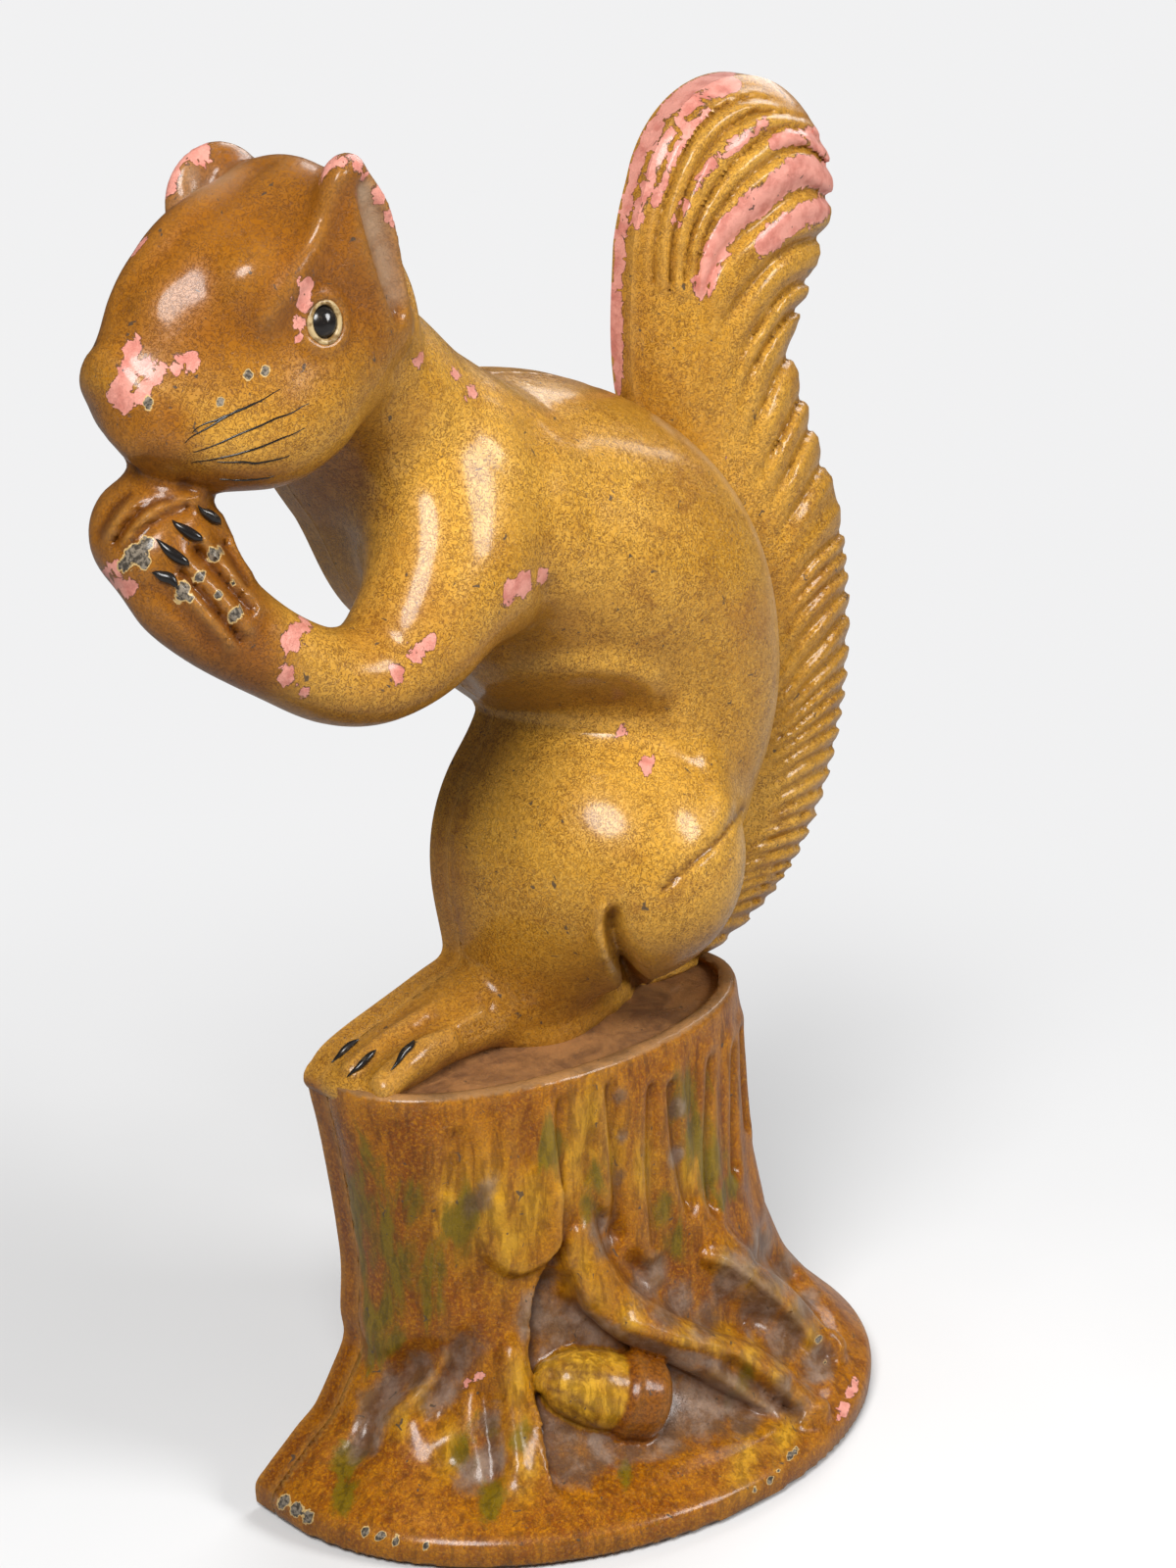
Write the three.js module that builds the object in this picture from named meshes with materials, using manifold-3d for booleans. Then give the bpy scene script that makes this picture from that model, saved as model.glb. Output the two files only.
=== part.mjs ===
import * as THREE from 'three';
import { mergeVertices } from 'three/addons/utils/BufferGeometryUtils.js';
import Module from 'manifold-3d';

const wasm = await Module();
wasm.setup();

// Driving dimensions in millimetres. X runs from nose to tail, Z is up,
// the relief faces -Y and the flat back stands at BACK_Y.
const HEIGHT = 292;
const BACK_Y = 12;
const PLATE_T = 6;
const WALL = 5;
const GAP = 0.3;
const SLAB_H = 7;
const SLAB_A = 77;
const SLAB_B = 60.5;
const STUMP_TOP = 97;
const RIM_W = 4;
const RIM_DROP = 2;
const BARK_DEPTH = 1.6;
const FLAP_RISE = 2.2;
const PIT_DEPTH = 5;
const DIP_DEPTH = 2.2;
const TAIL_STRANDS = 15;
const STRAND_DEPTH = 1.1;
const SCREW_R = 3;
const SCREW_LEN = 24;
const SCREW_HEAD_R = 6;
const SCREW_HEAD_H = 3.4;
const SLOT_W = 1.4;
const SLOT_D = 1.6;
const BOSS_R = 7.5;
const PAD_R = 7;
const PAD_T = 3;
const PAD_PROUD = 1.2;
const PAD_IN = 19;
const PAD_FRONT_IN = 13;

// Sizes that follow from the ones above.
const PART_Y = BACK_Y - PLATE_T;
const POST_FRONT = PART_Y - 1.35 * SLAB_B;
const PAD_SEAT = PAD_T - PAD_PROUD;
const PAD_BOSS_H = PAD_PROUD + PAD_SEAT + 2 * WALL;
const SLOT_HALF = SCREW_HEAD_R + 1;

// The animal keeps its proportions over its height above the deck, the
// stump over the two half axes of its slab and its own height.
const FIG = (HEIGHT - STUMP_TOP) / 195;
const WIDE = SLAB_A / 77;
const DEEP = SLAB_B / 60.5;
const TALL = STUMP_TOP / 97;

// Screw centres on the back, as [name, x, z].
const SCREWS = [
  ['screw_shoulder', -18 * FIG, STUMP_TOP + 112 * FIG],
  ['screw_haunch', 28 * FIG, STUMP_TOP + 51 * FIG],
  ['screw_stump_left', -27 * WIDE, 50 * TALL],
  ['screw_stump_right', 27 * WIDE, 50 * TALL],
];

// Floor pad centres, as [name, x, y].
const PADS = [
  ['pad_left', -SLAB_A + PAD_IN, -0.15 * SLAB_B],
  ['pad_right', SLAB_A - PAD_IN + 3 * WIDE, -0.15 * SLAB_B],
  ['pad_front', 2 * WIDE, -SLAB_B + PAD_FRONT_IN],
];

const DEPTH_AXIS = new THREE.Vector3(0, -1, 0);
const CROSS_AXIS = new THREE.Vector3(1, 0, 0);

// A closed solid from any closed geometry, turned so its faces look outward.
function solid(geometry) {
  const bare = geometry.clone();
  bare.deleteAttribute('uv');
  bare.deleteAttribute('normal');
  const merged = mergeVertices(bare, 1e-4);
  const pos = merged.attributes.position;
  const tri = new Uint32Array(merged.index.array);
  const a = new THREE.Vector3();
  const b = new THREE.Vector3();
  const c = new THREE.Vector3();
  let volume = 0;
  for (let i = 0; i < tri.length; i += 3) {
    a.fromBufferAttribute(pos, tri[i]);
    b.fromBufferAttribute(pos, tri[i + 1]);
    c.fromBufferAttribute(pos, tri[i + 2]);
    volume += a.dot(b.cross(c));
  }
  if (volume < 0) {
    for (let i = 0; i < tri.length; i += 3) {
      const keep = tri[i];
      tri[i] = tri[i + 1];
      tri[i + 1] = keep;
    }
  }
  const data = new wasm.Mesh({
    numProp: 3,
    vertProperties: new Float32Array(pos.array),
    triVerts: tri,
  });
  return new wasm.Manifold(data);
}

// Angle of ring point j when all but a few points face the front.
function fanned(j, ring, few) {
  const front = ring - few;
  const start = -0.5;
  const span = Math.PI + 1;
  if (j <= front) return start + (span * j) / front;
  return start + span + ((2 * Math.PI - span) * (j - front)) / few;
}

// A skin of elliptical rings along a smooth path. Each station is
// [x, y, z, in-plane radius, depth radius]; level rings stay horizontal.
function loft(stations, ring, steps, { level = false, relief = null, fan = 0 } = {}) {
  const path = new THREE.CatmullRomCurve3(
    stations.map((s) => new THREE.Vector3(s[0], s[1], s[2])), false, 'catmullrom', 0.5);
  const size = new THREE.CatmullRomCurve3(
    stations.map((s) => new THREE.Vector3(s[3], s[4], 0)), false, 'catmullrom', 0.5);
  const points = [];
  const index = [];
  for (let i = 0; i <= steps; i++) {
    const t = i / steps;
    const centre = path.getPoint(t);
    const radius = size.getPoint(t);
    const along = path.getTangent(t);
    let v = DEPTH_AXIS.clone();
    let u = CROSS_AXIS.clone();
    if (!level) {
      v.addScaledVector(along, -v.dot(along)).normalize();
      u = new THREE.Vector3().crossVectors(along, v).normalize();
    }
    for (let j = 0; j < ring; j++) {
      const angle = fan ? fanned(j, ring, fan) : (j / ring) * Math.PI * 2;
      const extra = relief ? relief(angle, t, centre, radius) : 0;
      const ru = Math.max(radius.x, 0.5) + extra;
      const rv = Math.max(radius.y, 0.5) + extra;
      const p = centre.clone();
      p.addScaledVector(u, ru * Math.cos(angle));
      p.addScaledVector(v, rv * Math.sin(angle));
      points.push(p.x, p.y, p.z);
    }
  }
  for (let i = 0; i < steps; i++) {
    for (let j = 0; j < ring; j++) {
      const k = (j + 1) % ring;
      const p = i * ring;
      const q = p + ring;
      index.push(p + j, p + k, q + k, p + j, q + k, q + j);
    }
  }
  for (const [row, turn] of [[0, -1], [steps, 1]]) {
    const centre = path.getPoint(row / steps);
    const hub = points.length / 3;
    points.push(centre.x, centre.y, centre.z);
    for (let j = 0; j < ring; j++) {
      const p = row * ring + j;
      const q = row * ring + ((j + 1) % ring);
      index.push(...(turn > 0 ? [p, q, hub] : [q, p, hub]));
    }
  }
  const geometry = new THREE.BufferGeometry();
  geometry.setAttribute('position', new THREE.Float32BufferAttribute(points, 3));
  geometry.setIndex(index);
  return solid(geometry);
}

function ball(x, y, z, rx, ry, rz, n = 16) {
  const g = new THREE.SphereGeometry(1, n, Math.round(n * 0.6));
  g.scale(rx, ry, rz);
  g.translate(x, y, z);
  return solid(g);
}

function block(x0, x1, y0, y1, z0, z1) {
  const g = new THREE.BoxGeometry(x1 - x0, y1 - y0, z1 - z0);
  g.translate((x0 + x1) / 2, (y0 + y1) / 2, (z0 + z1) / 2);
  return solid(g);
}

// A round bar along Y from y0 to y1.
function bar(x, z, r, y0, y1, n = 20) {
  const g = new THREE.CylinderGeometry(r, r, y1 - y0, n);
  g.translate(x, (y0 + y1) / 2, z);
  return solid(g);
}

// A round bar along Z from z0 to z1.
function disc(x, y, r, z0, z1, n = 20) {
  const g = new THREE.CylinderGeometry(r, r, z1 - z0, n);
  g.rotateX(Math.PI / 2);
  g.translate(x, y, (z0 + z1) / 2);
  return solid(g);
}

function join(list) {
  return list.reduce((sum, next) => sum.add(next));
}

const inset = (stations, by) => stations.map(([x, y, z, u, v]) => [x, y, z, u - by, v - by]);

// Stump levels from the slab to the rim, with its flare at the foot.
const flare = [
  [2.4, 16, 66.5, 46.5],
  [1.6, 26, 60, 39],
  [1.5, 37, 55.4, 34.2],
  [0.8, 48, 53, 31.2],
  [-1.2, 60, 52.3, 29.6],
  [-3.6, 77, 52.8, 29],
  [-5.8, 94, 53.5, 29],
  [-6.2, 97, 52.4, 28],
];
const stumpLevels = [
  [1.5 * WIDE, 0, PAD_PROUD, SLAB_A, SLAB_B],
  [1.5 * WIDE, 0, SLAB_H - 1, SLAB_A, SLAB_B],
  [1.8 * WIDE, 0, SLAB_H + 2, SLAB_A - 3 * WIDE, SLAB_B - 4 * DEEP],
  ...flare.map(([x, z, a, b]) => [x * WIDE, 0, z * TALL, a * WIDE, b * DEEP]),
];

const { smoothstep, clamp } = THREE.MathUtils;

// Straight runs between pairs [at, value].
function between(at, table) {
  let i = 0;
  while (i < table.length - 2 && at > table[i + 1][0]) i++;
  const [x0, y0] = table[i];
  const [x1, y1] = table[i + 1];
  return y0 + (y1 - y0) * clamp((at - x0) / (x1 - x0), 0, 1);
}

const pitLeft = [[8, -41], [11, -39], [22, -33.5], [42, -31], [56, -27]];
const pitRight = [[10, 30], [21, 17], [30, 6], [34, -2], [40, -12], [46, -18], [58, -22]];
const barkLines = [-23, -10, 1, 8.5, 21, 32, 41];

// Relief of the stump seen from the front: bark grooves, a hanging flap of
// bark and the hollow under the roots where the acorn lies.
function bark(angle, t, centre, radius) {
  const x = (centre.x + radius.x * Math.cos(angle)) / WIDE;
  const z = centre.z / TALL;
  const upper = smoothstep(z, 50, 60) * (1 - smoothstep(z, 86, 93));
  let rise = 0;
  for (const at of barkLines) {
    rise -= BARK_DEPTH * upper * Math.exp(-(((x - at) / 3.2) ** 2));
  }
  const side = Math.hypot((x + 32) / 8.3, Math.max(66 - z, 0) / 11.5);
  rise += FLAP_RISE * (1 - smoothstep(side, 0.8, 1.2)) * (1 - smoothstep(z, 72, 88));
  const left = between(z, pitLeft);
  const right = between(z, pitRight);
  rise -= PIT_DEPTH * smoothstep(x, left - 1, left + 3) * smoothstep(right - x, -1, 5)
    * smoothstep(z, 10, 15) * (1 - smoothstep(z, 48, 60));
  rise -= DIP_DEPTH * Math.exp(-(((x + 51 + (z - 26) * -0.9) / 7) ** 2) - ((z - 26) / 9) ** 2);
  return rise * smoothstep(Math.sin(angle), -0.3, 0);
}

// Stations of the animal, drawn forward from the flat back and up from the deck.
const beast = (rows) => rows.map(([x, out, z, u, v]) => [
  x * FIG, BACK_Y - out * FIG, STUMP_TOP + z * FIG, u * FIG, v * FIG]);
const lump = (x, out, z, u, v, w, n) => ball(
  x * FIG, BACK_Y - out * FIG, STUMP_TOP + z * FIG, u * FIG, v * FIG, w * FIG, n);

const torsoPath = beast([
  [14, 0, -5, 13, 14],
  [16, 0, 9, 22, 24],
  [18, 0, 29, 30, 33],
  [21.5, 0, 51, 34.5, 38],
  [24, 0, 71, 35.5, 41],
  [16, 0, 91, 36, 44],
  [-2, 0, 104, 34, 45],
  [-26, 0, 117.5, 27.5, 42],
  [-42, 2, 133, 22, 36],
  [-58, 10, 149, 18.5, 28],
  [-75, 23, 158, 15, 17],
]);

const tailPath = beast([
  [22, 1, -2, 7, 9],
  [36, 1, 6, 13, 15],
  [58, 1, 25, 21, 18],
  [67, 1, 53, 24, 19],
  [66, 1, 85, 24, 19],
  [57, 1, 111, 22, 18],
  [50, 1, 133, 21.5, 17],
  [53, 1, 153, 26, 17],
  [57, 1, 166, 28, 17],
  [57, 1, 176, 26, 15.8],
  [57, 1, 184, 20.6, 12.6],
  [57, 1, 189, 14, 8.5],
  [57, 1, 191.6, 8, 5],
  [57, 1, 192.6, 2, 1.5],
]);

function strands(angle, t) {
  const fade = smoothstep(t, 0.05, 0.2) * (1 - smoothstep(t, 0.86, 0.95));
  return STRAND_DEPTH * fade * Math.sin(TAIL_STRANDS * 2.2 * t - 5 * angle);
}

const headPath = beast([
  [-52, 25, 162, 4, 4],
  [-58, 25, 164, 11, 11],
  [-67, 25, 166, 20, 17],
  [-77, 25, 166.5, 25, 20],
  [-87, 25, 164.5, 25.5, 20.5],
  [-97, 25, 160, 23, 19],
  [-106, 25, 155.5, 18, 16],
  [-112.5, 25, 153, 12.5, 12.5],
  [-116.5, 25, 152, 8.5, 9],
  [-118.5, 25, 151.5, 3, 3.5],
]);

const armPath = beast([
  [-33, 23, 124, 15, 15],
  [-45, 32, 114, 16.5, 15],
  [-57, 36, 102.5, 13.5, 13],
  [-67, 36, 97, 10.5, 11],
  [-78, 36, 98, 9, 10],
  [-90, 36, 104.5, 8.5, 9],
  [-101, 34, 113, 9.5, 9],
  [-107.5, 32, 120.5, 10.5, 9],
  [-111, 30, 126.5, 8.5, 8],
  [-113, 29, 131, 3, 3],
]);

const shankPath = beast([
  [2, 12, 43, 20, 22],
  [-3, 12, 27, 18.5, 22],
  [-6, 11, 13, 15.5, 18],
  [-6, 10, 3, 14, 14],
]);

const footPath = beast([
  [13, 13, 0.5, 3, 3],
  [10, 13, 1, 6, 7],
  [4, 12, 2.5, 10, 10],
  [-8, 11, 5, 11, 11.5],
  [-20, 9, 5.5, 9.5, 11],
  [-33, 8, 3.5, 7.5, 11],
  [-44, 9, 1.5, 6, 11.5],
  [-52, 9, -0.5, 5, 11],
  [-56, 9, -2, 3.5, 9],
  [-58.5, 9, -3, 1.5, 4],
]);

// The four fingers lie over the nut, from the wrist to the tips.
const fingerRows = [
  [-93, 39, 114, -104.5, 38, 132.5],
  [-96.5, 40, 111, -109, 38.5, 131.2],
  [-99.5, 40, 108.5, -112.6, 37.5, 128],
  [-103, 39, 106.5, -114.6, 35.5, 123.8],
];
const fingers = fingerRows.map(([x0, y0, z0, x1, y1, z1]) => loft(beast([
  [x0, y0, z0, 2.4, 2.6],
  [(x0 + x1) / 2 - 0.5, 41.5, (z0 + z1) / 2, 2.6, 3.2],
  [x1, y1, z1, 2, 2.2],
]), 6, 5));

const toes = [19.5, 14, 8.5].map((out) => loft(beast([
  [-36, out - 1, 4.5, 2.4, 2.4],
  [-46, out, 4, 3, 2.6],
  [-54, out + 0.5, 0.5, 2.4, 2.3],
]), 6, 5));

// Two ears: the near one a cupped leaf leaning back, the far one a round leaf.
const nearEar = loft(beast([
  [-62, 38, 161, 4.5, 3.4],
  [-67.5, 41, 172, 6.4, 4.2],
  [-72.5, 43, 183, 7.4, 4.4],
  [-77, 43, 192.4, 4.4, 2.8],
]), 12, 8).subtract(lump(-70, 46.6, 179.5, 4.2, 3.2, 9, 12));
const farEar = lump(-82, 11.5, 184, 11, 4.4, 10.5, 14)
  .subtract(lump(-89.5, 18, 184, 5, 4.4, 6, 10));

const nut = lump(-107.5, 23, 129.5, 11.5, 11, 12, 16);
const muzzle = lump(-101, 25, 156, 17, 15, 18.5, 16);
const nearEye = lump(-84.4, 45.6, 167.2, 3.3, 2.2, 3.3, 12);
const cheeks = [36, 14].map((out) => lump(-92, out, 149, 13, 8.5, 11, 12));
const brow = lump(-91, 39.5, 175.5, 9, 5, 6, 12);
const chest = lump(-32, 16, 110, 15.5, 22, 17, 16);
const crown = lump(-77.5, 26.5, 182, 9, 16, 11.2, 14);
const thigh = lump(6, 10, 38, 30.5, 43, 32, 20);
const heelPit = lump(8, 24, 13, 2.6, 5, 7, 10);

// Stations of the stump, drawn on its full size.
const earth = (rows) => rows.map(([x, y, z, u, v]) => [
  x * WIDE, y * DEEP, z * TALL, u * WIDE, v * WIDE]);

const roots = [
  loft(earth([[-16, -23, 70, 3, 3], [-17, -26, 56, 4.5, 5], [-12.5, -28.5, 43, 6, 7],
    [3.7, -34, 30.5, 6.5, 8], [16.4, -41, 20.5, 6, 6], [27, -48, 10, 4.5, 5],
    [36, -51, 3.5, 2.5, 2.5]]), 10, 15),
  loft(earth([[13.8, -24, 54, 4, 4], [24.8, -28, 37.5, 6, 6], [37, -30.5, 26, 6, 6],
    [45, -36, 13, 4.5, 5], [55, -38, 3.5, 2.5, 2.5]]), 10, 12),
];
const acornNut = loft(earth([[-30.5, -25.5, 31.2, 0.8, 0.8], [-26.5, -28.5, 29.5, 6, 6.5],
  [-19, -32, 26, 8.2, 9], [-12, -35, 23, 7.5, 8]]), 12, 8);
const acornCap = loft(earth([[-13.2, -34.2, 23.6, 9.4, 10.5], [-9, -36, 21.8, 9, 10.5],
  [-5.8, -37.3, 20.6, 5.5, 7]]), 12, 4);

const stump = loft(stumpLevels, 56, 22, { level: true, relief: bark, fan: 8 });
const plainStump = loft(stumpLevels, 40, 16, { level: true, fan: 8 });
const torso = loft(torsoPath, 22, 20);
const tail = loft(tailPath, 20, 38, { relief: strands });
const plainTail = loft(tailPath, 16, 28);
const foot = loft(footPath, 16, 15);
const shank = loft(shankPath, 16, 8);
const heel = lump(-8, 0, 2, 14, 8, 5, 12);
const relief = join([plainStump, torso, chest, thigh, shank, plainTail, foot, heel]);

// The front shell: everything in front of the parting face, then hollowed.
const dish = loft([
  [-6.2 * WIDE, 0, STUMP_TOP - RIM_DROP, 52.4 * WIDE - RIM_W, 28 * DEEP - RIM_W],
  [-6.2 * WIDE, 0, STUMP_TOP + RIM_DROP, 52.4 * WIDE - RIM_W, 28 * DEEP - RIM_W],
], 48, 1, { level: true });
const figure = join([torso, chest, thigh, shank, tail, foot, ...toes, loft(headPath, 18, 16),
  muzzle, crown, ...cheeks, brow, nearEar, farEar, nearEye, loft(armPath, 14, 18), nut, ...fingers]);
const ground = join([stump.subtract(dish), ...roots, acornNut, acornCap]);
const front = block(-HEIGHT, HEIGHT, POST_FRONT, PART_Y, PAD_PROUD, 2 * HEIGHT);
const outer = figure.subtract(heelPit).add(ground).intersect(front);

const stumpHollow = loft(
  inset(stumpLevels.filter((s) => s[2] < 0.9 * STUMP_TOP), WALL + PIT_DEPTH)
    .map((s, i) => (i === 0 ? [s[0], s[1], -1, s[3], s[4]] : s))
    .concat([[-5 * WIDE, 0, STUMP_TOP - RIM_DROP - WALL, 40 * WIDE, 16 * DEEP]]),
  28, 12, { level: true });
const torsoHollow = loft(
  inset(torsoPath.slice(2, 7), WALL)
    .concat(beast([[-32, 0, 127, 12, 24]])),
  18, 12);
const thighHollow = ball(6 * FIG, BACK_Y - 10 * FIG, STUMP_TOP + 41 * FIG,
  30.5 * FIG - WALL, 42 * FIG - WALL, 27 * FIG - WALL, 16);
const passage = loft([
  [16 * FIG, PART_Y, 0.8 * STUMP_TOP, 9 * FIG, 7 * FIG],
  [16 * FIG, PART_Y, STUMP_TOP + 38 * FIG, 9 * FIG, 7 * FIG],
], 16, 1, { level: true });
const hollow = join([stumpHollow, torsoHollow, thighHollow, passage]);

const posts = join(SCREWS.map(([, x, z]) => bar(x, z, BOSS_R, POST_FRONT, PART_Y)));
const padBosses = join(PADS.map(([, x, y]) => disc(x, y, PAD_R + 3, PAD_PROUD, PAD_BOSS_H)));
const screwHoles = join(SCREWS.map(([, x, z]) => bar(
  x, z, SCREW_R + GAP, BACK_Y - SCREW_LEN - 3 * GAP, PART_Y + 1)));
const padSeats = join(PADS.map(([, x, y]) => disc(
  x, y, PAD_R + GAP, -1, PAD_PROUD + PAD_SEAT + GAP)));

const ribs = posts.add(padBosses).intersect(outer);
const frontCasting = outer.subtract(hollow).add(ribs).subtract(screwHoles).subtract(padSeats);

// A screw turned about Y: shank, tapered head and a slot across the face.
function screwProfile(extra) {
  const tip = SCREW_LEN;
  return [
    new THREE.Vector2(0, 0),
    new THREE.Vector2(SCREW_HEAD_R + extra, 0),
    new THREE.Vector2(SCREW_HEAD_R + extra, -0.5),
    new THREE.Vector2(SCREW_R + extra, -SCREW_HEAD_H),
    new THREE.Vector2(SCREW_R + extra, -tip + 1),
    new THREE.Vector2(SCREW_R + extra - 0.8, -tip),
    new THREE.Vector2(0, -tip),
  ];
}

function turned(profile, x, y, z) {
  const g = new THREE.LatheGeometry(profile.slice().reverse(), 20);
  g.translate(x, y, z);
  return solid(g);
}

const slab = block(-HEIGHT, HEIGHT, PART_Y + GAP, BACK_Y, PAD_PROUD, 2 * HEIGHT);
const sinks = join(SCREWS.map(([, x, z]) => turned(screwProfile(GAP), x, BACK_Y - GAP, z)));
const lifted = join(SCREWS.map(([, x, z]) => bar(
  x, z, SCREW_HEAD_R + GAP, BACK_Y - 2 * GAP, BACK_Y + 2)));
const backPlate = relief.intersect(slab).subtract(sinks.add(lifted)).subtract(padSeats);

const materials = {
  paint: { color: 0xa8741c, roughness: 0.34, metalness: 0.0 },
  back: { color: 0x9a6a1e, roughness: 0.42, metalness: 0.0 },
  iron: { color: 0x6f6a62, roughness: 0.45, metalness: 0.9 },
  rubber: { color: 0x1c1b1a, roughness: 0.85, metalness: 0.0 },
};

const model = new THREE.Group();
model.name = 'squirrel_doorstop';

function place(name, body, finish) {
  const data = body.getMesh();
  const geometry = new THREE.BufferGeometry();
  const flat = new Float32Array(data.vertProperties);
  geometry.setAttribute('position', new THREE.Float32BufferAttribute(flat, 3));
  geometry.setIndex(Array.from(data.triVerts));
  geometry.computeVertexNormals();
  const mesh = new THREE.Mesh(geometry, new THREE.MeshStandardMaterial(materials[finish]));
  mesh.name = name;
  model.add(mesh);
}

place('front_casting', frontCasting, 'paint');
place('back_plate', backPlate, 'back');
for (const [name, x, z] of SCREWS) {
  const slot = block(x - SLOT_HALF, x + SLOT_HALF, BACK_Y - GAP - SLOT_D, BACK_Y + 1,
    z - SLOT_W / 2, z + SLOT_W / 2);
  place(name, turned(screwProfile(0), x, BACK_Y - GAP, z).subtract(slot), 'iron');
}
for (const [name, x, y] of PADS) {
  place(name, disc(x, y, PAD_R, 0, PAD_T), 'rubber');
}

// The origin is the middle of the footprint of the whole object, on the floor.
const box = new THREE.Box3().setFromObject(model);
const shift = new THREE.Vector3(
  -(box.min.x + box.max.x) / 2, -(box.min.y + box.max.y) / 2, -box.min.z);
for (const mesh of model.children) mesh.geometry.translate(shift.x, shift.y, shift.z);

export default model;
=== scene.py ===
import math

import bpy
import numpy as np
from mathutils import Matrix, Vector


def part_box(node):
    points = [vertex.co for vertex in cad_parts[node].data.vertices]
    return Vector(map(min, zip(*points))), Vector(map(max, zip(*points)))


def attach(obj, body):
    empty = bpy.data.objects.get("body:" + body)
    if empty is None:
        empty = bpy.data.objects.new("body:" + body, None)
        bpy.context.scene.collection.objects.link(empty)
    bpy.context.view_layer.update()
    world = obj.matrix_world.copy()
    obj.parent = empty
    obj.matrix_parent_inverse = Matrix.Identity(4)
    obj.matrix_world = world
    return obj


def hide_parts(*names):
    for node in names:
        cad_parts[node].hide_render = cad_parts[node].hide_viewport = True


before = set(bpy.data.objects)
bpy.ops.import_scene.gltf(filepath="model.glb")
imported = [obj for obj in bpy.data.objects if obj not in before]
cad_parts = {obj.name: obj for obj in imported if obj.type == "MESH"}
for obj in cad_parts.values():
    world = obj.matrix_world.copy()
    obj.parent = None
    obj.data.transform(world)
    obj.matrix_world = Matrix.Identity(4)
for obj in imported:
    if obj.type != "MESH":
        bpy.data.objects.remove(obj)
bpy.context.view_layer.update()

# Shapes are worked out in millimetres about the middle of the stump,
# then moved by OFFSET into the frame of the part and scaled to metres.
METRES = 0.001
# Depths of the flat back, the parting plane, the plate's side of the seam, the head and the arm.
BACK_Y = 12.0
PART_Y = 6.0
SEAM_Y = 6.06
HEAD_Y = -13.0
ARM_Y = -24.0
# Heights of the slab's underside and of the stump's top.
FLOOR_Z = 1.2
STUMP_TOP = 97.0
# Screw posts as x, z and floor pads as x, y.
POSTS = ((-18, 209), (28, 148), (-27, 50), (27, 50))
PADS = ((-58, -9), (61, -9), (2, -47.5))

# The first screw gives the offset along x, and the back of the plate gives it along y.
screw_middle = np.mean(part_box("screw_shoulder"), axis=0) / METRES
plate_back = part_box("back_plate")[1][1] / METRES
OFFSET = np.array([screw_middle[0] - POSTS[0][0], plate_back - BACK_Y, 0.0])

# Place and direction of the camera, in the same millimetres.
TURN, TILT, REACH = math.radians(42.6), math.radians(19.9), 716.0
AIM = np.array([-9.0, -20.0, 155.6])
BACKWARD = np.array([-math.sin(TURN) * math.cos(TILT), -math.cos(TURN) * math.cos(TILT), math.sin(TILT)])
VIEWER = AIM + BACKWARD * REACH
RIGHT = np.array([math.cos(TURN), -math.sin(TURN), 0.0])
UPWARD = np.cross(BACKWARD, RIGHT)
# Width and height of the photograph and the focal length, in its pixels.
PHOTO_WIDE, PHOTO_TALL, FOCAL = 1200.0, 1600.0, 3600.0


def laid(x, y, z):
    """Where the line from the viewer through each point meets the plane y = 0, as x and z there."""
    s = VIEWER[1] / (VIEWER[1] - y)
    return VIEWER[0] + (x - VIEWER[0]) * s, VIEWER[2] + (z - VIEWER[2]) * s


def traced(points):
    """Where the lines of sight through points of the photograph meet the plane y = 0, as x and z there."""
    across, down = np.array(points, float).T[:, :, None]
    sight = RIGHT * (across - PHOTO_WIDE / 2) / FOCAL + UPWARD * (PHOTO_TALL / 2 - down) / FOCAL - BACKWARD
    return (VIEWER - sight * VIEWER[1] / sight[:, 1:2])[:, [0, 2]]


def marks(table):
    """The spots of a table with their points of the photograph traced to the laid plane."""
    table = np.array(table, float)
    return np.c_[traced(table[:, :2]), table[:, 2]]


def smooth(x, a, b):
    """Goes from 0 at a to 1 at b along 3t^2 - 2t^3."""
    t = np.clip((x - a) / (b - a), 0.0, 1.0)
    return t * t * (3.0 - 2.0 * t)


def bump(x, centre, width):
    """A bell curve of height 1 at the centre, exp of minus the squared distance over width."""
    return np.exp(-((x - centre) / width) ** 2)


def blend_min(a, b, k):
    """The lower of two fields, with their crossing rounded over a width k."""
    h = np.clip(k - np.abs(a - b), 0.0, None) / k
    return np.minimum(a, b) - h * h * k * 0.25


def blend_max(a, b, k):
    """The higher of two fields, with their crossing rounded over a width k."""
    return -blend_min(-a, -b, k)


def spline(rows, count):
    """A uniform cubic through the rows: count + 1 samples of every column."""
    r = np.asarray(rows, float)
    ext = np.vstack([2 * r[0] - r[1], r, 2 * r[-1] - r[-2]])
    t = np.linspace(0.0, len(r) - 1.0, count + 1)
    i = np.minimum(t.astype(int), len(r) - 2)
    f = (t - i)[:, None]
    p0, p1, p2, p3 = ext[i], ext[i + 1], ext[i + 2], ext[i + 3]
    return 0.5 * (2 * p1 + (p2 - p0) * f + (2 * p0 - 5 * p1 + 4 * p2 - p3) * f ** 2
                  + (3 * p1 - p0 - 3 * p2 + p3) * f ** 3)


def to_line(p, line):
    """Distance from each point to a chain of straight pieces."""
    line = np.array(line, float)
    best = np.full(len(p), 1e9)
    for a, b in zip(line[:-1], line[1:]):
        f = np.clip((p - a) @ (b - a) / ((b - a) @ (b - a)), 0.0, 1.0)
        best = np.minimum(best, ((p - a - f[:, None] * (b - a)) ** 2).sum(1))
    return np.sqrt(best)


def near_line(p, line, width):
    """A bell curve of the distance from each point to a chain of straight pieces."""
    return bump(to_line(p, line), 0.0, width)


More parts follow.
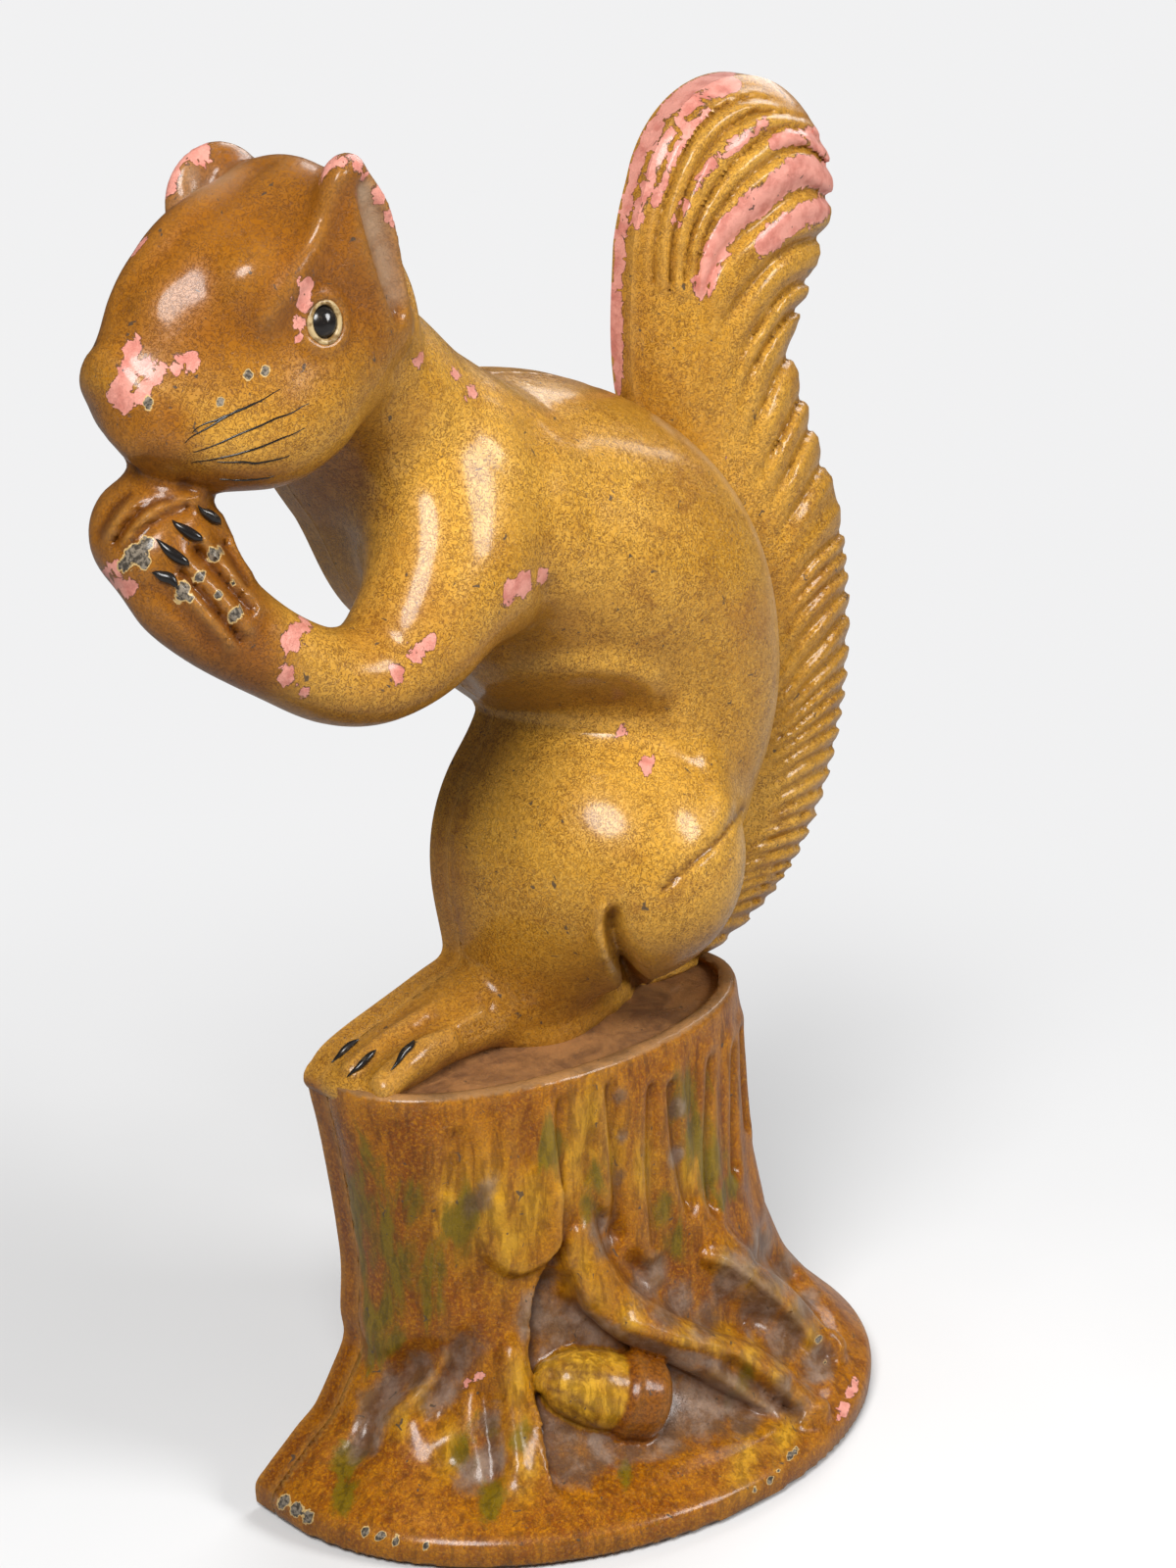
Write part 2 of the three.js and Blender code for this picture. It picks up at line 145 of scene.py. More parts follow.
def between(table, low, step, x, z):
    """The value of a table over x and z at places between its samples, by straight steps both ways."""
    i = np.clip((x - low[0]) / step, 0, table.shape[0] - 1.001)
    k = np.clip((z - low[1]) / step, 0, table.shape[1] - 1.001)
    i0, k0 = i.astype(int), k.astype(int)
    f, g = i - i0, k - k0
    lower = table[i0, k0] * (1 - f) + table[i0 + 1, k0] * f
    upper = table[i0, k0 + 1] * (1 - f) + table[i0 + 1, k0 + 1] * f
    return lower * (1 - g) + upper * g


def normals(points, faces):
    """Mean direction of the faces round each point, weighted by their areas."""
    n = np.cross(points[faces[:, 2]] - points[faces[:, 0]], points[faces[:, 3]] - points[faces[:, 1]])
    total = np.stack([np.bincount(faces.ravel(), np.repeat(n[:, i], 4), len(points)) for i in range(3)], 1)
    return total / np.maximum(np.linalg.norm(total, axis=1, keepdims=True), 1e-9)


class Loft:
    """A path with an elliptical section and rounded ends."""

    def __init__(self, stations, count=40, cap=1.0):
        s = spline(stations, count)
        self.cap = cap
        self.path = s[:, :3]
        self.radii = np.maximum(s[:, 3:5], 0.5)
        along = np.gradient(self.path, axis=0)
        along /= np.linalg.norm(along, axis=1, keepdims=True)
        depth = np.array([0.0, -1.0, 0.0]) - along * -along[:, 1:2]
        depth /= np.linalg.norm(depth, axis=1, keepdims=True)
        self.along, self.depth = along, depth
        self.cross = np.cross(along, depth)
        self.low = (self.path - self.radii.max(1, keepdims=True)).min(0)
        self.high = (self.path + self.radii.max(1, keepdims=True)).max(0)

    def place(self, p):
        """The nearest place on the path to each point, counted in samples of the path."""
        best = np.full(len(p), 1e9, np.float32)
        t = np.zeros(len(p), np.float32)
        for i in range(len(self.path) - 1):
            a = self.path[i]
            ab = self.path[i + 1] - a
            f = np.clip((p - a) @ ab / (ab @ ab), 0.0, 1.0)
            d = p - a - f[:, None] * ab
            q = np.einsum("ij,ij->i", d, d)
            near = q < best
            best[near] = q[near]
            t[near] = i + f[near]
        return t

    def field(self, p):
        """The offsets from the path over the radii, as a length less one, times the smaller radius;
        far out it grows more slowly, to stay near the true distance."""
        t = self.place(p)
        i = np.minimum(t.astype(int), len(self.path) - 2)
        f = (t - i)[:, None]
        mix = lambda a: a[i] * (1 - f) + a[i + 1] * f
        d = p - mix(self.path)
        dot = lambda a: np.einsum("ij,ij->i", d, mix(a))
        r = mix(self.radii)
        small = r.min(1)
        side = (dot(self.cross) / r[:, 0]) ** 2 + (dot(self.depth) / r[:, 1]) ** 2
        k = np.sqrt(side + (dot(self.along) / (self.cap * small)) ** 2)
        return (k - 1.0) * small * np.minimum(1.0, 0.6 + 0.4 / np.maximum(k, 0.2))


class Relief:
    """A path in the plane of the back with half-ellipse sections that rise toward the front:
    the nearest place on the path is found in that plane, the depth runs along Y."""

    def __init__(self, stations, cap=1.0, taper=0.0, count=220):
        s = spline(stations, count)
        self.path, self.middle = s[:, [0, 2]], s[:, 1]
        self.radii = np.maximum(s[:, 3:5], 0.5)
        along = np.gradient(self.path, axis=0)
        self.along = along / np.linalg.norm(along, axis=1, keepdims=True)
        self.cap, self.taper = cap, taper
        reach = self.radii.max(1)
        low, high = (self.path - reach[:, None]).min(0), (self.path + reach[:, None]).max(0)
        self.low = np.array([low[0], (self.middle - self.radii[:, 1]).min(), low[1]])
        self.high = np.array([high[0], (self.middle + self.radii[:, 1]).max(), high[1]])

    def place(self, p):
        """Place along the path, offset past its ends and offset across it, for points x, z."""
        best, t = np.full(len(p), 1e9), np.zeros(len(p))
        for i in range(len(self.path) - 1):
            ab = self.path[i + 1] - self.path[i]
            f = np.clip((p - self.path[i]) @ ab / (ab @ ab), 0.0, 1.0)
            q = ((p - self.path[i] - f[:, None] * ab) ** 2).sum(1)
            near = q < best
            best[near] = q[near]
            t[near] = i + f[near]
        i = np.minimum(t.astype(int), len(self.path) - 2)
        f = (t - i)[:, None]
        way = self.along[i] * (1 - f) + self.along[i + 1] * f
        d = p - self.path[i] * (1 - f) - self.path[i + 1] * f
        return t, (d * way).sum(1), d[:, 0] * way[:, 1] - d[:, 1] * way[:, 0]

    def section(self, t):
        """In-plane radius, depth radius and middle depth at places along the path."""
        samples = np.arange(len(self.path))
        return [np.interp(t, samples, a) for a in (self.radii[:, 0], self.radii[:, 1], self.middle)]

    def front(self, p):
        """Depth y of the front skin over points x, z."""
        t, w, u = self.place(p)
        wide, deep, middle = self.section(t)
        level = (u / wide) ** 2 + (w / (self.cap * np.minimum(wide, deep))) ** 2
        return middle - deep * np.sqrt(np.clip(1.0 - level, 0.0, 1.0))

    def lattice(self, xs, ys, zs):
        """The field over a whole block of the grid: the offsets over the radii, as a length less one,
        times the smaller radius."""
        flat = np.stack([g.ravel() for g in np.meshgrid(xs, zs, indexing="ij")], 1)
        t, w, u = self.place(flat)
        wide, deep, middle = self.section(t)
        small = np.minimum(wide, deep)
        deep = deep * (1.0 - self.taper * np.clip(u / wide, -1.0, 1.0))
        sheet = lambda a: a.reshape(len(xs), 1, len(zs)).astype(np.float32)
        level = sheet((u / wide) ** 2 + (w / (self.cap * small)) ** 2)
        k = np.sqrt(level + ((ys[None, :, None] - sheet(middle)) / sheet(deep)) ** 2)
        return (k - 1.0) * sheet(small)


class Ball:
    """An ellipsoid: the scaled distance from its centre less one, times its smallest radius."""

    def __init__(self, centre, radii):
        self.c, self.r = np.array(centre, float), np.array(radii, float)
        self.low, self.high = self.c - self.r, self.c + self.r

    def field(self, p):
        """The scaled distance at each point."""
        k = np.sqrt((((p - self.c) / self.r) ** 2).sum(1))
        return (k - 1.0) * self.r.min()


class Bar:
    """A round bar between two ends: the distance to the axis or to an end, whichever is greater."""

    def __init__(self, start, end, radius, far_radius=None):
        self.a, self.b = np.array(start, float), np.array(end, float)
        self.r = (radius, radius if far_radius is None else far_radius)
        reach = max(self.r)
        self.low = np.minimum(self.a, self.b) - reach
        self.high = np.maximum(self.a, self.b) + reach

    def field(self, p):
        """The distance at each point."""
        way = self.b - self.a
        length = np.linalg.norm(way)
        way = way / length
        w = (p - self.a) @ way
        d = p - self.a - w[:, None] * way
        r = np.interp(w, [0, length], self.r)
        return np.maximum(np.sqrt((d * d).sum(1)) - r, np.maximum(-w, w - length))


class Grid:
    """A block of sample points that holds the distance to the skin of one piece."""

    clear = 40.0

    def __init__(self, low, high, step):
        self.low, self.step = np.array(low, float), step
        self.axes = [np.arange(lo, hi + step, step) for lo, hi in zip(low, high)]
        self.values = np.full([len(a) for a in self.axes], self.clear, np.float32)

    def window(self, shape, margin=12.0):
        """The part of the grid around a shape, as slices, and the shape's field over it."""
        cut = tuple(slice(max(int((l - margin - a[0]) / self.step), 0),
                          max(int((h + margin - a[0]) / self.step) + 2, 1))
                    for a, l, h in zip(self.axes, shape.low, shape.high))
        block = [a[c] for a, c in zip(self.axes, cut)]
        if hasattr(shape, "lattice"):
            return cut, shape.lattice(*block)
        grid = np.meshgrid(*block, indexing="ij")
        p = np.stack([g.ravel() for g in grid], 1).astype(np.float32)
        return cut, shape.field(p).reshape(grid[0].shape)

    def add(self, shape, k):
        """Joins a shape to the piece with a fillet of width k."""
        cut, field = self.window(shape)
        self.values[cut] = blend_min(self.values[cut], field, k)

    def carve(self, shape, k):
        """Takes a shape out of the piece with an edge rounded over k."""
        cut, field = self.window(shape)
        self.values[cut] = blend_max(self.values[cut], -field, k)

    def cut_off(self, axis, level, side):
        """Cuts the piece off flat at a level of one axis, above it for side 1 and below it for side -1."""
        shape = [1, 1, 1]
        shape[axis] = -1
        beyond = side * (self.axes[axis] - level)
        self.values = np.maximum(self.values, beyond.reshape(shape).astype(np.float32))

    def slice_at(self, y):
        """The field on the plane at y."""
        i = (y - self.low[1]) / self.step
        j = int(i)
        return self.values[:, j] * (1 - i + j) + self.values[:, j + 1] * (i - j)

    def outline_at(self, x, z):
        """The stored outline field at x, z."""
        return between(self.outline, self.low[[0, 2]], self.step, x, z)

    def true_edge(self, points, faces, levels):
        """Lays the points of each flat cut on its level and its rim on the outline, by steps
        down the slope of the outline field."""
        for level in levels:
            on = np.abs(points[:, 1] - level) < 0.55 * self.step
            points[on, 1] = level
            rim = on & (np.abs(normals(points, faces)[:, 1]) < 0.97)
            x, z = points[rim, 0], points[rim, 2]
            near = np.abs(self.outline_at(x, z)) < 1.2 * self.step
            for _ in range(4):
                f = self.outline_at(x, z)
                gx = self.outline_at(x + 0.3, z) - self.outline_at(x - 0.3, z)
                gz = self.outline_at(x, z + 0.3) - self.outline_at(x, z - 0.3)
                pull = near * np.clip(f, -1.0, 1.0) * 0.6 / np.maximum(gx ** 2 + gz ** 2, 0.05)
                x, z = x - pull * gx, z - pull * gz
            points[rim, 0], points[rim, 2] = x, z

    def skin(self):
        """Points of the surface where the field crosses zero: one point per cell at the mean
        of its crossed edges, and one four-sided face round each crossed edge of the grid."""
        values = self.values
        inside = values < 0
        n = np.array(values.shape)
        corner = [(i, j, k) for i in (0, 1) for j in (0, 1) for k in (0, 1)]
        part = lambda a, c: a[c[0]:n[0] - 1 + c[0], c[1]:n[1] - 1 + c[1], c[2]:n[2] - 1 + c[2]]
        count = sum(part(inside, c).astype(np.int8) for c in corner)
        active = (count > 0) & (count < 8)
        cell = np.argwhere(active)
        number = np.full(active.shape, -1, np.int64)
        number[active] = np.arange(len(cell))
        val = np.stack([values[cell[:, 0] + c[0], cell[:, 1] + c[1], cell[:, 2] + c[2]] for c in corner], 1)
        total = np.zeros((len(cell), 3))
        hits = np.zeros(len(cell))
        for a in range(8):
            for b in range(a + 1, 8):
                ca, cb = np.array(corner[a]), np.array(corner[b])
                if np.abs(ca - cb).sum() != 1:
                    continue
                cross = (val[:, a] < 0) != (val[:, b] < 0)
                f = np.where(cross, val[:, a] / np.where(cross, val[:, a] - val[:, b], 1.0), 0.0)
                total += np.where(cross[:, None], ca + f[:, None] * (cb - ca), 0.0)
                hits += cross
        points = self.low + self.step * (cell + total / hits[:, None])
        faces = []
        for axis in range(3):
            step = np.eye(3, dtype=int)[axis]
            lo = inside[tuple(slice(0, n[i] - step[i]) for i in range(3))]
            hi = inside[tuple(slice(step[i], n[i]) for i in range(3))]
            edge = np.argwhere(lo != hi)
            edge = edge[(edge[:, [i for i in range(3) if i != axis]] > 0).all(1)]
            u, v = np.eye(3, dtype=int)[(axis + 1) % 3], np.eye(3, dtype=int)[(axis + 2) % 3]
            at = lambda d: number[tuple((edge - d).T)]
            quad = np.stack([at(u + v), at(v), at(0 * u), at(u)], 1)
            turn = ~lo[tuple(edge.T)]
            quad[turn] = quad[turn][:, ::-1]
            faces.append(quad)
        return points, np.vstack(faces)


# Stations along each form: x, y, z, in-plane radius, depth radius.
torso = Relief([
    [14, BACK_Y, 92, 13, 14], [16, BACK_Y, 106, 22, 24], [18, BACK_Y, 126, 30, 33],
    [21.5, BACK_Y, 148, 34.5, 38], [24, BACK_Y, 168, 35.5, 41], [16, BACK_Y, 188, 36, 44],
    [-2, BACK_Y, 201, 34, 45], [-26, BACK_Y, 214.5, 27.5, 42], [-42, BACK_Y - 2, 230, 22, 36],
    [-58, BACK_Y - 10, 246, 18.5, 28], [-75, HEAD_Y + 2, 255, 15, 17]])
chest = Ball([-32, -4, 207], [15.5, 22, 17])
thigh = Ball([6, 2, 135], [30.5, 43, 32])
shank = Relief([
    [2, BACK_Y - 12, 140, 20, 22], [-3, BACK_Y - 12, 124, 18.5, 22],
    [-6, BACK_Y - 11, 110, 15.5, 18], [-6, BACK_Y - 10, 100, 14, 14]])
foot = Relief([
    [10, BACK_Y - 13, 98, 6, 7], [4, BACK_Y - 12, 99.5, 10, 10], [-8, BACK_Y - 11, 102, 11, 11.5],
    [-20, BACK_Y - 9, 102.5, 9.5, 11], [-33, BACK_Y - 8, 100.5, 7.5, 11], [-44, BACK_Y - 9, 98.5, 6, 11.5],
    [-52, BACK_Y - 9, 96.5, 5, 11], [-56, BACK_Y - 9, 95, 3.5, 9]])
tail = Relief([
    [22, BACK_Y - 1, 95, 7, 9], [36, BACK_Y - 1, 103, 13, 15], [58, BACK_Y - 1, 122, 21, 18],
    [67, BACK_Y - 1, 150, 24, 19], [66, BACK_Y - 1, 182, 24, 19], [57, BACK_Y - 1, 208, 22, 18],
    [49.5, BACK_Y - 1, 230, 23, 17], [52.5, BACK_Y - 1, 250, 27, 17], [57, BACK_Y - 1, 263, 28, 17]], 1.57)
head = Relief([
    [-58, HEAD_Y, 261, 11, 11], [-67, HEAD_Y, 263, 20, 17], [-77, HEAD_Y, 263.5, 25, 19.5],
    [-87, HEAD_Y, 261.5, 25.5, 20], [-97, HEAD_Y, 257, 23, 18], [-106, HEAD_Y, 252.5, 18, 15],
    [-112.5, HEAD_Y, 250, 12.5, 12.5]], 0.5, 0.24)
arm = Relief([
    [-33, ARM_Y + 13, 221, 15, 15], [-45, ARM_Y + 4, 211, 16.5, 15], [-57, ARM_Y, 199.5, 13.5, 13],
    [-67, ARM_Y, 194, 10.5, 11], [-78, ARM_Y, 195, 9, 10], [-90, ARM_Y, 201.5, 8.5, 9],
    [-101, ARM_Y + 2, 210, 9.5, 9], [-107.5, ARM_Y + 4, 217.5, 10.5, 9], [-111, ARM_Y + 6, 223.5, 8.5, 8]])
nut = Ball([-107.5, HEAD_Y + 2, 225.5], [11.5, 11, 11.5])
crown = Ball([-77.5, -14.5, 277], [9.5, 17, 11.2])
nose = Ball([-115.5, -15, 246], [4.6, 7, 4.8])
near_ear = Loft([[-63.5, -26, 257, 4.2, 3.4], [-68.5, -29, 268, 5.6, 4.2], [-73.5, -31, 280, 6.2, 4.4],
                 [-77.5, -31, 289, 4.4, 3]], 20)
near_ear_cup = Loft([[-65.5, -32, 263, 1.8, 2.4], [-68.3, -33.6, 271, 3.2, 3.8], [-72, -35, 280, 3.6, 4.2],
                     [-75, -35, 286.5, 2.2, 2.6]], 14)
far_ear = Ball([-82, 0.5, 281], [11, 4.4, 10.5])
far_ear_cup = Loft([[-88, -5, 286.5, 3.4, 3], [-89, -6.6, 282, 4, 3], [-89.6, -7.6, 279.5, 2.4, 1.6]], 10)
near_brow = Ball([-91, -27.5, 272.5], [9, 5, 6])
cheeks = [Ball([-92, y, 245.5], [14, 10, 11]) for y in (-25, -1)]
toes = [Loft([[-36, y + 1, 101.5, 2.4, 2.4], [-46, y, 101, 3, 2.6], [-54, y - 0.5, 97.5, 2.4, 2.3]], 8)
        for y in (-7.5, -2, 3.5)]
heel_pit = Loft([[3, -17, 125, 1.2, 3], [5, -15, 117, 2.6, 5], [8, -11, 108, 3, 5], [9, -9, 100, 3, 4]], 12)
roots = [
    Loft([[-16, -25, 68, 3, 3], [-17, -28.5, 56, 4, 4], [-12.5, -31.5, 43, 5.5, 5], [3.7, -38, 30.5, 6, 5],
          [16.4, -43, 20.5, 5.5, 5], [28.4, -52, 9.8, 4, 3.5]], 24),
    Loft([[13.8, -27, 52, 4, 4], [24.8, -30.7, 37.5, 5.5, 5], [37, -33, 26, 5.5, 5],
          [47, -39, 13, 4, 3.5]], 20)]
acorn_nut = Loft([[-29, -28.4, 30.6, 3.6, 3.6], [-26, -30.2, 29.3, 6.4, 6.4], [-19, -33.5, 26, 8.2, 8.2],
                  [-12, -36.5, 23, 7.5, 7.5]], 16, 0.6)
acorn_cap = Loft([[-13, -36.3, 23.4, 9.4, 9.4], [-9, -38.2, 21.8, 9, 9]], 8, 0.5)

# Grooves between the hair strands at the tail's top as number: points of the photograph.
STRANDS = {
    8: ((636, 300), (637, 262), (641, 215), (648, 186), (657, 164), (668, 140), (682, 119), (700, 99),
        (720, 86), (745, 78), (770, 80), (795, 92)),
    7: ((650, 300), (652, 258), (659, 215), (668, 186), (679, 158), (691, 132), (707, 112), (726, 97),
        (748, 89), (772, 88), (800, 99)),
    6: ((664, 300), (667, 250), (676, 214), (686, 186), (697, 160), (709, 138), (724, 118), (743, 106),
        (764, 98), (788, 100), (812, 112)),
    5: ((684, 300), (686, 250), (693, 215), (702, 188), (714, 163), (727, 146), (743, 132), (762, 120),
        (783, 112), (804, 112), (824, 121), (842, 138)),
    4: ((700, 300), (704, 258), (714, 222), (724, 204), (737, 184), (753, 166), (771, 151), (790, 137),
        (808, 128), (826, 131), (843, 146)),
    3: ((707, 306), (712, 262), (722, 231), (736, 209), (753, 188), (770, 173), (790, 161), (808, 153),
        (822, 151), (834, 157), (847, 172)),
    2: ((716, 305), (724, 283), (738, 260), (755, 242), (773, 228), (790, 212), (808, 199), (822, 193),
        (834, 195), (843, 201)),
    1: ((745, 322), (760, 300), (777, 279), (794, 261), (810, 252), (829, 246)),
}
# Grooves lower down the tail's edge as number: points x, z on its skin.
EDGE_LOCKS = {
    -1: ((65, 245), (58, 243), (54, 239), (50, 236)),
    -2: ((62, 238), (56, 235), (53, 232), (50, 229)),
    -3: ((64, 229), (58, 226), (54, 222), (51, 218)),
    -4.5: ((69, 219), (62, 216), (56, 211), (54, 208)),
    -6: ((75, 212), (68, 211), (62, 207), (57, 202)),
    -7.5: ((74, 204), (68, 201), (61, 196)),
    -10: ((78, 187), (68, 185), (63, 181)),
    -12: ((80, 179), (70, 177), (64, 174)),
    -14.5: ((82, 169), (72, 165), (65, 162), (60, 156)),
    -17: ((79, 156), (68, 153), (60, 149)),
    -20: ((78, 148), (66, 146), (57, 143)),
    -22.5: ((75, 139), (66, 139), (60, 137)),
    -25: ((72, 130), (64, 130), (58, 129)),
    -28: ((69, 122), (61, 123), (54, 123)),
    -31: ((61, 115), (53, 116), (47, 116)),
    -33: ((56, 112), (49, 112), (42, 111)),
    -36: ((49, 106), (43, 107), (37, 107)),
}


# Where the hair starts on the tail: heights z, and the x there, on the laid plane.
HAIR_Z = (95, 104, 108, 113, 120, 125, 133, 140, 152, 170, 178, 193, 205, 216, 227, 234, 240, 245, 250, 256)
HAIR_X = (18, 39, 45, 51, 58, 62, 64, 62, 63, 67, 66, 64, 57, 53, 51, 50, 45, 38, 22, 6)


class Strands:
    """Hair of the tail over the laid plane, kept on a lattice: a thin-plate surface takes each groove's
    number along that groove, and rounded locks of hair rise between the numbers, lower where they crowd."""

    low, step, shape = np.array([-4.0, 84.0]), 0.7, (166, 312)
    slack = 40.0
    past_foot, past_top = [-44, -40], [9.5, 11.0, 12.5]

    def __init__(self):
        rows = {n: traced(p) for n, p in STRANDS.items()}
        for n, p in EDGE_LOCKS.items():
            p = np.array(p, float)
            rows[n] = np.stack(laid(p[:, 0], tail.front(p), p[:, 1]), 1)
        sides = (self.low[i] + self.step * np.arange(self.shape[i]) for i in (0, 1))
        x, z = np.meshgrid(*sides, indexing="ij")
        self.number = self.thin_plate(rows, x, z)
        self.height = self.locks(sorted(rows), x, z)

    def thin_plate(self, rows, x, z):
        """The surface of least bending through the numbers of the grooves, with some slack: a plane
        plus a sum of r^2 log r^2 terms round the grooves' points."""
        kernel = lambda d: d * np.log(np.maximum(d, 1e-9))
        at = np.vstack(list(rows.values()))
        value = np.repeat(np.array(list(rows), float), [len(p) for p in rows.values()])
        m = len(at)
        plane = np.c_[np.ones(m), at]
        bend = kernel(((at[:, None] - at[None]) ** 2).sum(-1)) + self.slack * np.eye(m)
        system = np.block([[bend, plane], [plane.T, np.zeros((3, 3))]])
        w = np.linalg.solve(system, np.r_[value, 0, 0, 0])
        p = np.stack([x.ravel(), z.ravel()], 1)
        terms = kernel(((p[:, None] - at[None]) ** 2).sum(-1))
        return (terms @ w[:m] + np.c_[np.ones(len(p)), p] @ w[m:]).reshape(x.shape)

    def locks(self, numbers, x, z):
        """Height of the hair: a rounded lock between each two grooves, split in two low on the tail,
        with finer hairs on it. It fades where grooves crowd and ahead of where the hair starts."""
        deep = np.array(self.past_foot + numbers + self.past_top, float)
        lock = np.interp(self.number, deep, np.arange(len(deep)))
        crowd = np.hypot(*np.gradient(lock, self.step))
        lobe = 1.0 - np.abs(2.0 * (lock % 1.0) - 1.0) ** 2.4
        split = 1.0 - np.abs(2.0 * ((2.0 * lock) % 1.0) - 1.0) ** 2.0
        dense = smooth(-self.number, 6.0, 12.0)
        lobe = lobe + dense * (0.76 * split + 0.08 - lobe)
        fine = 1.0 - (2.0 * ((2.0 * self.number) % 1.0) - 1.0) ** 2
        start = np.interp(z, HAIR_Z, HAIR_X)
        fade = 0.10 + 0.90 * smooth(x, start - 2.0, start + 9.0)
        room = 1.0 - smooth(crowd, 0.26, 0.60)
        fine_room = 1.0 - smooth(2.0 * crowd, 0.5, 1.0)
        return fade * room * (2.0 * lobe - 0.9) + fade * 0.35 * (fine - 0.5) * fine_room

    def read(self, table, x, z):
        """The value of the number or the height at places of the laid plane."""
        return between(table, self.low, self.step, x, z)


hair = Strands()


# Grooves in the bark: depth, points x, z seen from the front.
BARK = (
    (1.7, ((-11, 93), (-9, 78), (-7.7, 56))),
    (1.7, ((7, 86), (8.7, 72), (12, 57))),
    (1.5, ((21.5, 86), (20, 68), (20, 53))),
    (1.4, ((33, 84), (31.5, 57))),
    (1.2, ((1.3, 87), (0.5, 70), (1.3, 52))),
    (1.5, ((-23, 92), (-23, 74), (-24, 56))),
    (0.6, ((-38.5, 93), (-37, 84), (-38, 75))),
    (0.5, ((-44.6, 88), (-45.4, 76))),
    (0.5, ((-16, 88), (-17, 74))),
    (0.6, ((-30, 92), (-31, 80))),
    (1.0, ((40.5, 84), (42, 62))))
GROOVE_WIDTH = 1.4
# The raised lip beside each groove: share of its depth, distance from it, width.
LIP_SHARE, LIP_AWAY, LIP_WIDTH = 0.35, 3.4, 2.0
# Wider dips in the bark: depth, width, points x, z.
DIPS = (
    (2.4, 5.0, ((-60, 21), (-46, 35))),
    (2.2, 5.0, ((-51.5, 15), (-43, 29))),
    (1.4, 3.0, ((-30, 36), (-34, 22))),
    (2.0, 4.5, ((2, 46), (14, 34), (26, 26))),
    (2.2, 5.0, ((44, 34), (54, 18))),
    (1.8, 4.0, ((-12, 60), (-4, 44))))
# The hanging flap of bark: middle x, height z where its round end starts, half width, drop, rise.
FLAP_X, FLAP_Z, FLAP_HALF, FLAP_DROP, FLAP_RISE = -32.0, 66.0, 8.3, 11.5, 2.2
# The hollow under the roots: depth, and its edges as heights z and the x there.
PIT_DEPTH = 5.0
PIT_LEFT = ((8, 11, 22, 42, 56), (-41, -39, -33.5, -31, -27))
PIT_RIGHT = ((10, 21, 30, 34, 40, 46, 58), (30, 17, 6, -2, -12, -18, -22))


def pit_shape(x, z):
    """The hollow under the roots, 1 inside: a steep left edge, a soft right edge along the root."""
    left, right = np.interp(z, *PIT_LEFT), np.interp(z, *PIT_RIGHT)
    sides = smooth(x, left, left + 2.6) * smooth(right - x, -1.0, 5.0)
    return sides * smooth(z, 9.5, 14) * (1 - smooth(z, 48, 60))


def bark_height(x, z):
    """Relief of the stump seen from the front: grooves and dips as bell curves round their lines,
    a hanging flap of bark, the hollow under the roots, and faint waves."""
    p = np.stack([x.ravel(), z.ravel()], 1)
    q, w = p.T
    h = np.zeros(len(p))
    for depth, line in BARK:
        d = to_line(p, line)
        h -= depth * (bump(d, 0.0, GROOVE_WIDTH) - LIP_SHARE * bump(d, LIP_AWAY, LIP_WIDTH))
    for depth, width, line in DIPS:
        h -= depth * near_line(p, line, width)
    side = np.abs(q - FLAP_X) / FLAP_HALF
    drop = np.clip(FLAP_Z - w, 0, None) / FLAP_DROP
    flap = 1.0 - smooth(np.sqrt(side ** 2 + drop ** 2), 0.9, 1.12)
    h += FLAP_RISE * flap * (1 - smooth(w, 72, 88))
    h -= PIT_DEPTH * pit_shape(q, w)
    h += 0.35 * np.sin(0.55 * q + 0.04 * w) * smooth(w, 20, 40) * (1 - smooth(w, 86, 94))
    return h.reshape(x.shape)


# Lengths over which pressed relief fades at the foot, the top and the rear of its box.
FOOT_FADE, TOP_FADE, REAR_FADE = 4.0, 5.0, 8.0


def press(grid, low, high, rear, table):
    """Moves the skin within a box of the grid out or in by a bell curve of the distance to each line,
    as seen from the viewer. The effect ends ahead of the depth rear and at the foot and top of the box."""
    cut = tuple(slice(*np.searchsorted(a, (l, h))) for a, l, h in zip(grid.axes, low, high))
    x, y, z = np.meshgrid(*(a[c] for a, c in zip(grid.axes, cut)), indexing="ij")
    seen = np.stack([v.ravel() for v in laid(x, y, z)], 1)
    total = sum(height * near_line(seen, traced(line), width) for height, width, line in table)
    room = smooth(z, low[2], low[2] + FOOT_FADE) * (1 - smooth(z, high[2] - TOP_FADE, high[2]))
    grid.values[cut] -= total.reshape(x.shape) * (1 - smooth(y, rear - REAR_FADE, rear)) * room


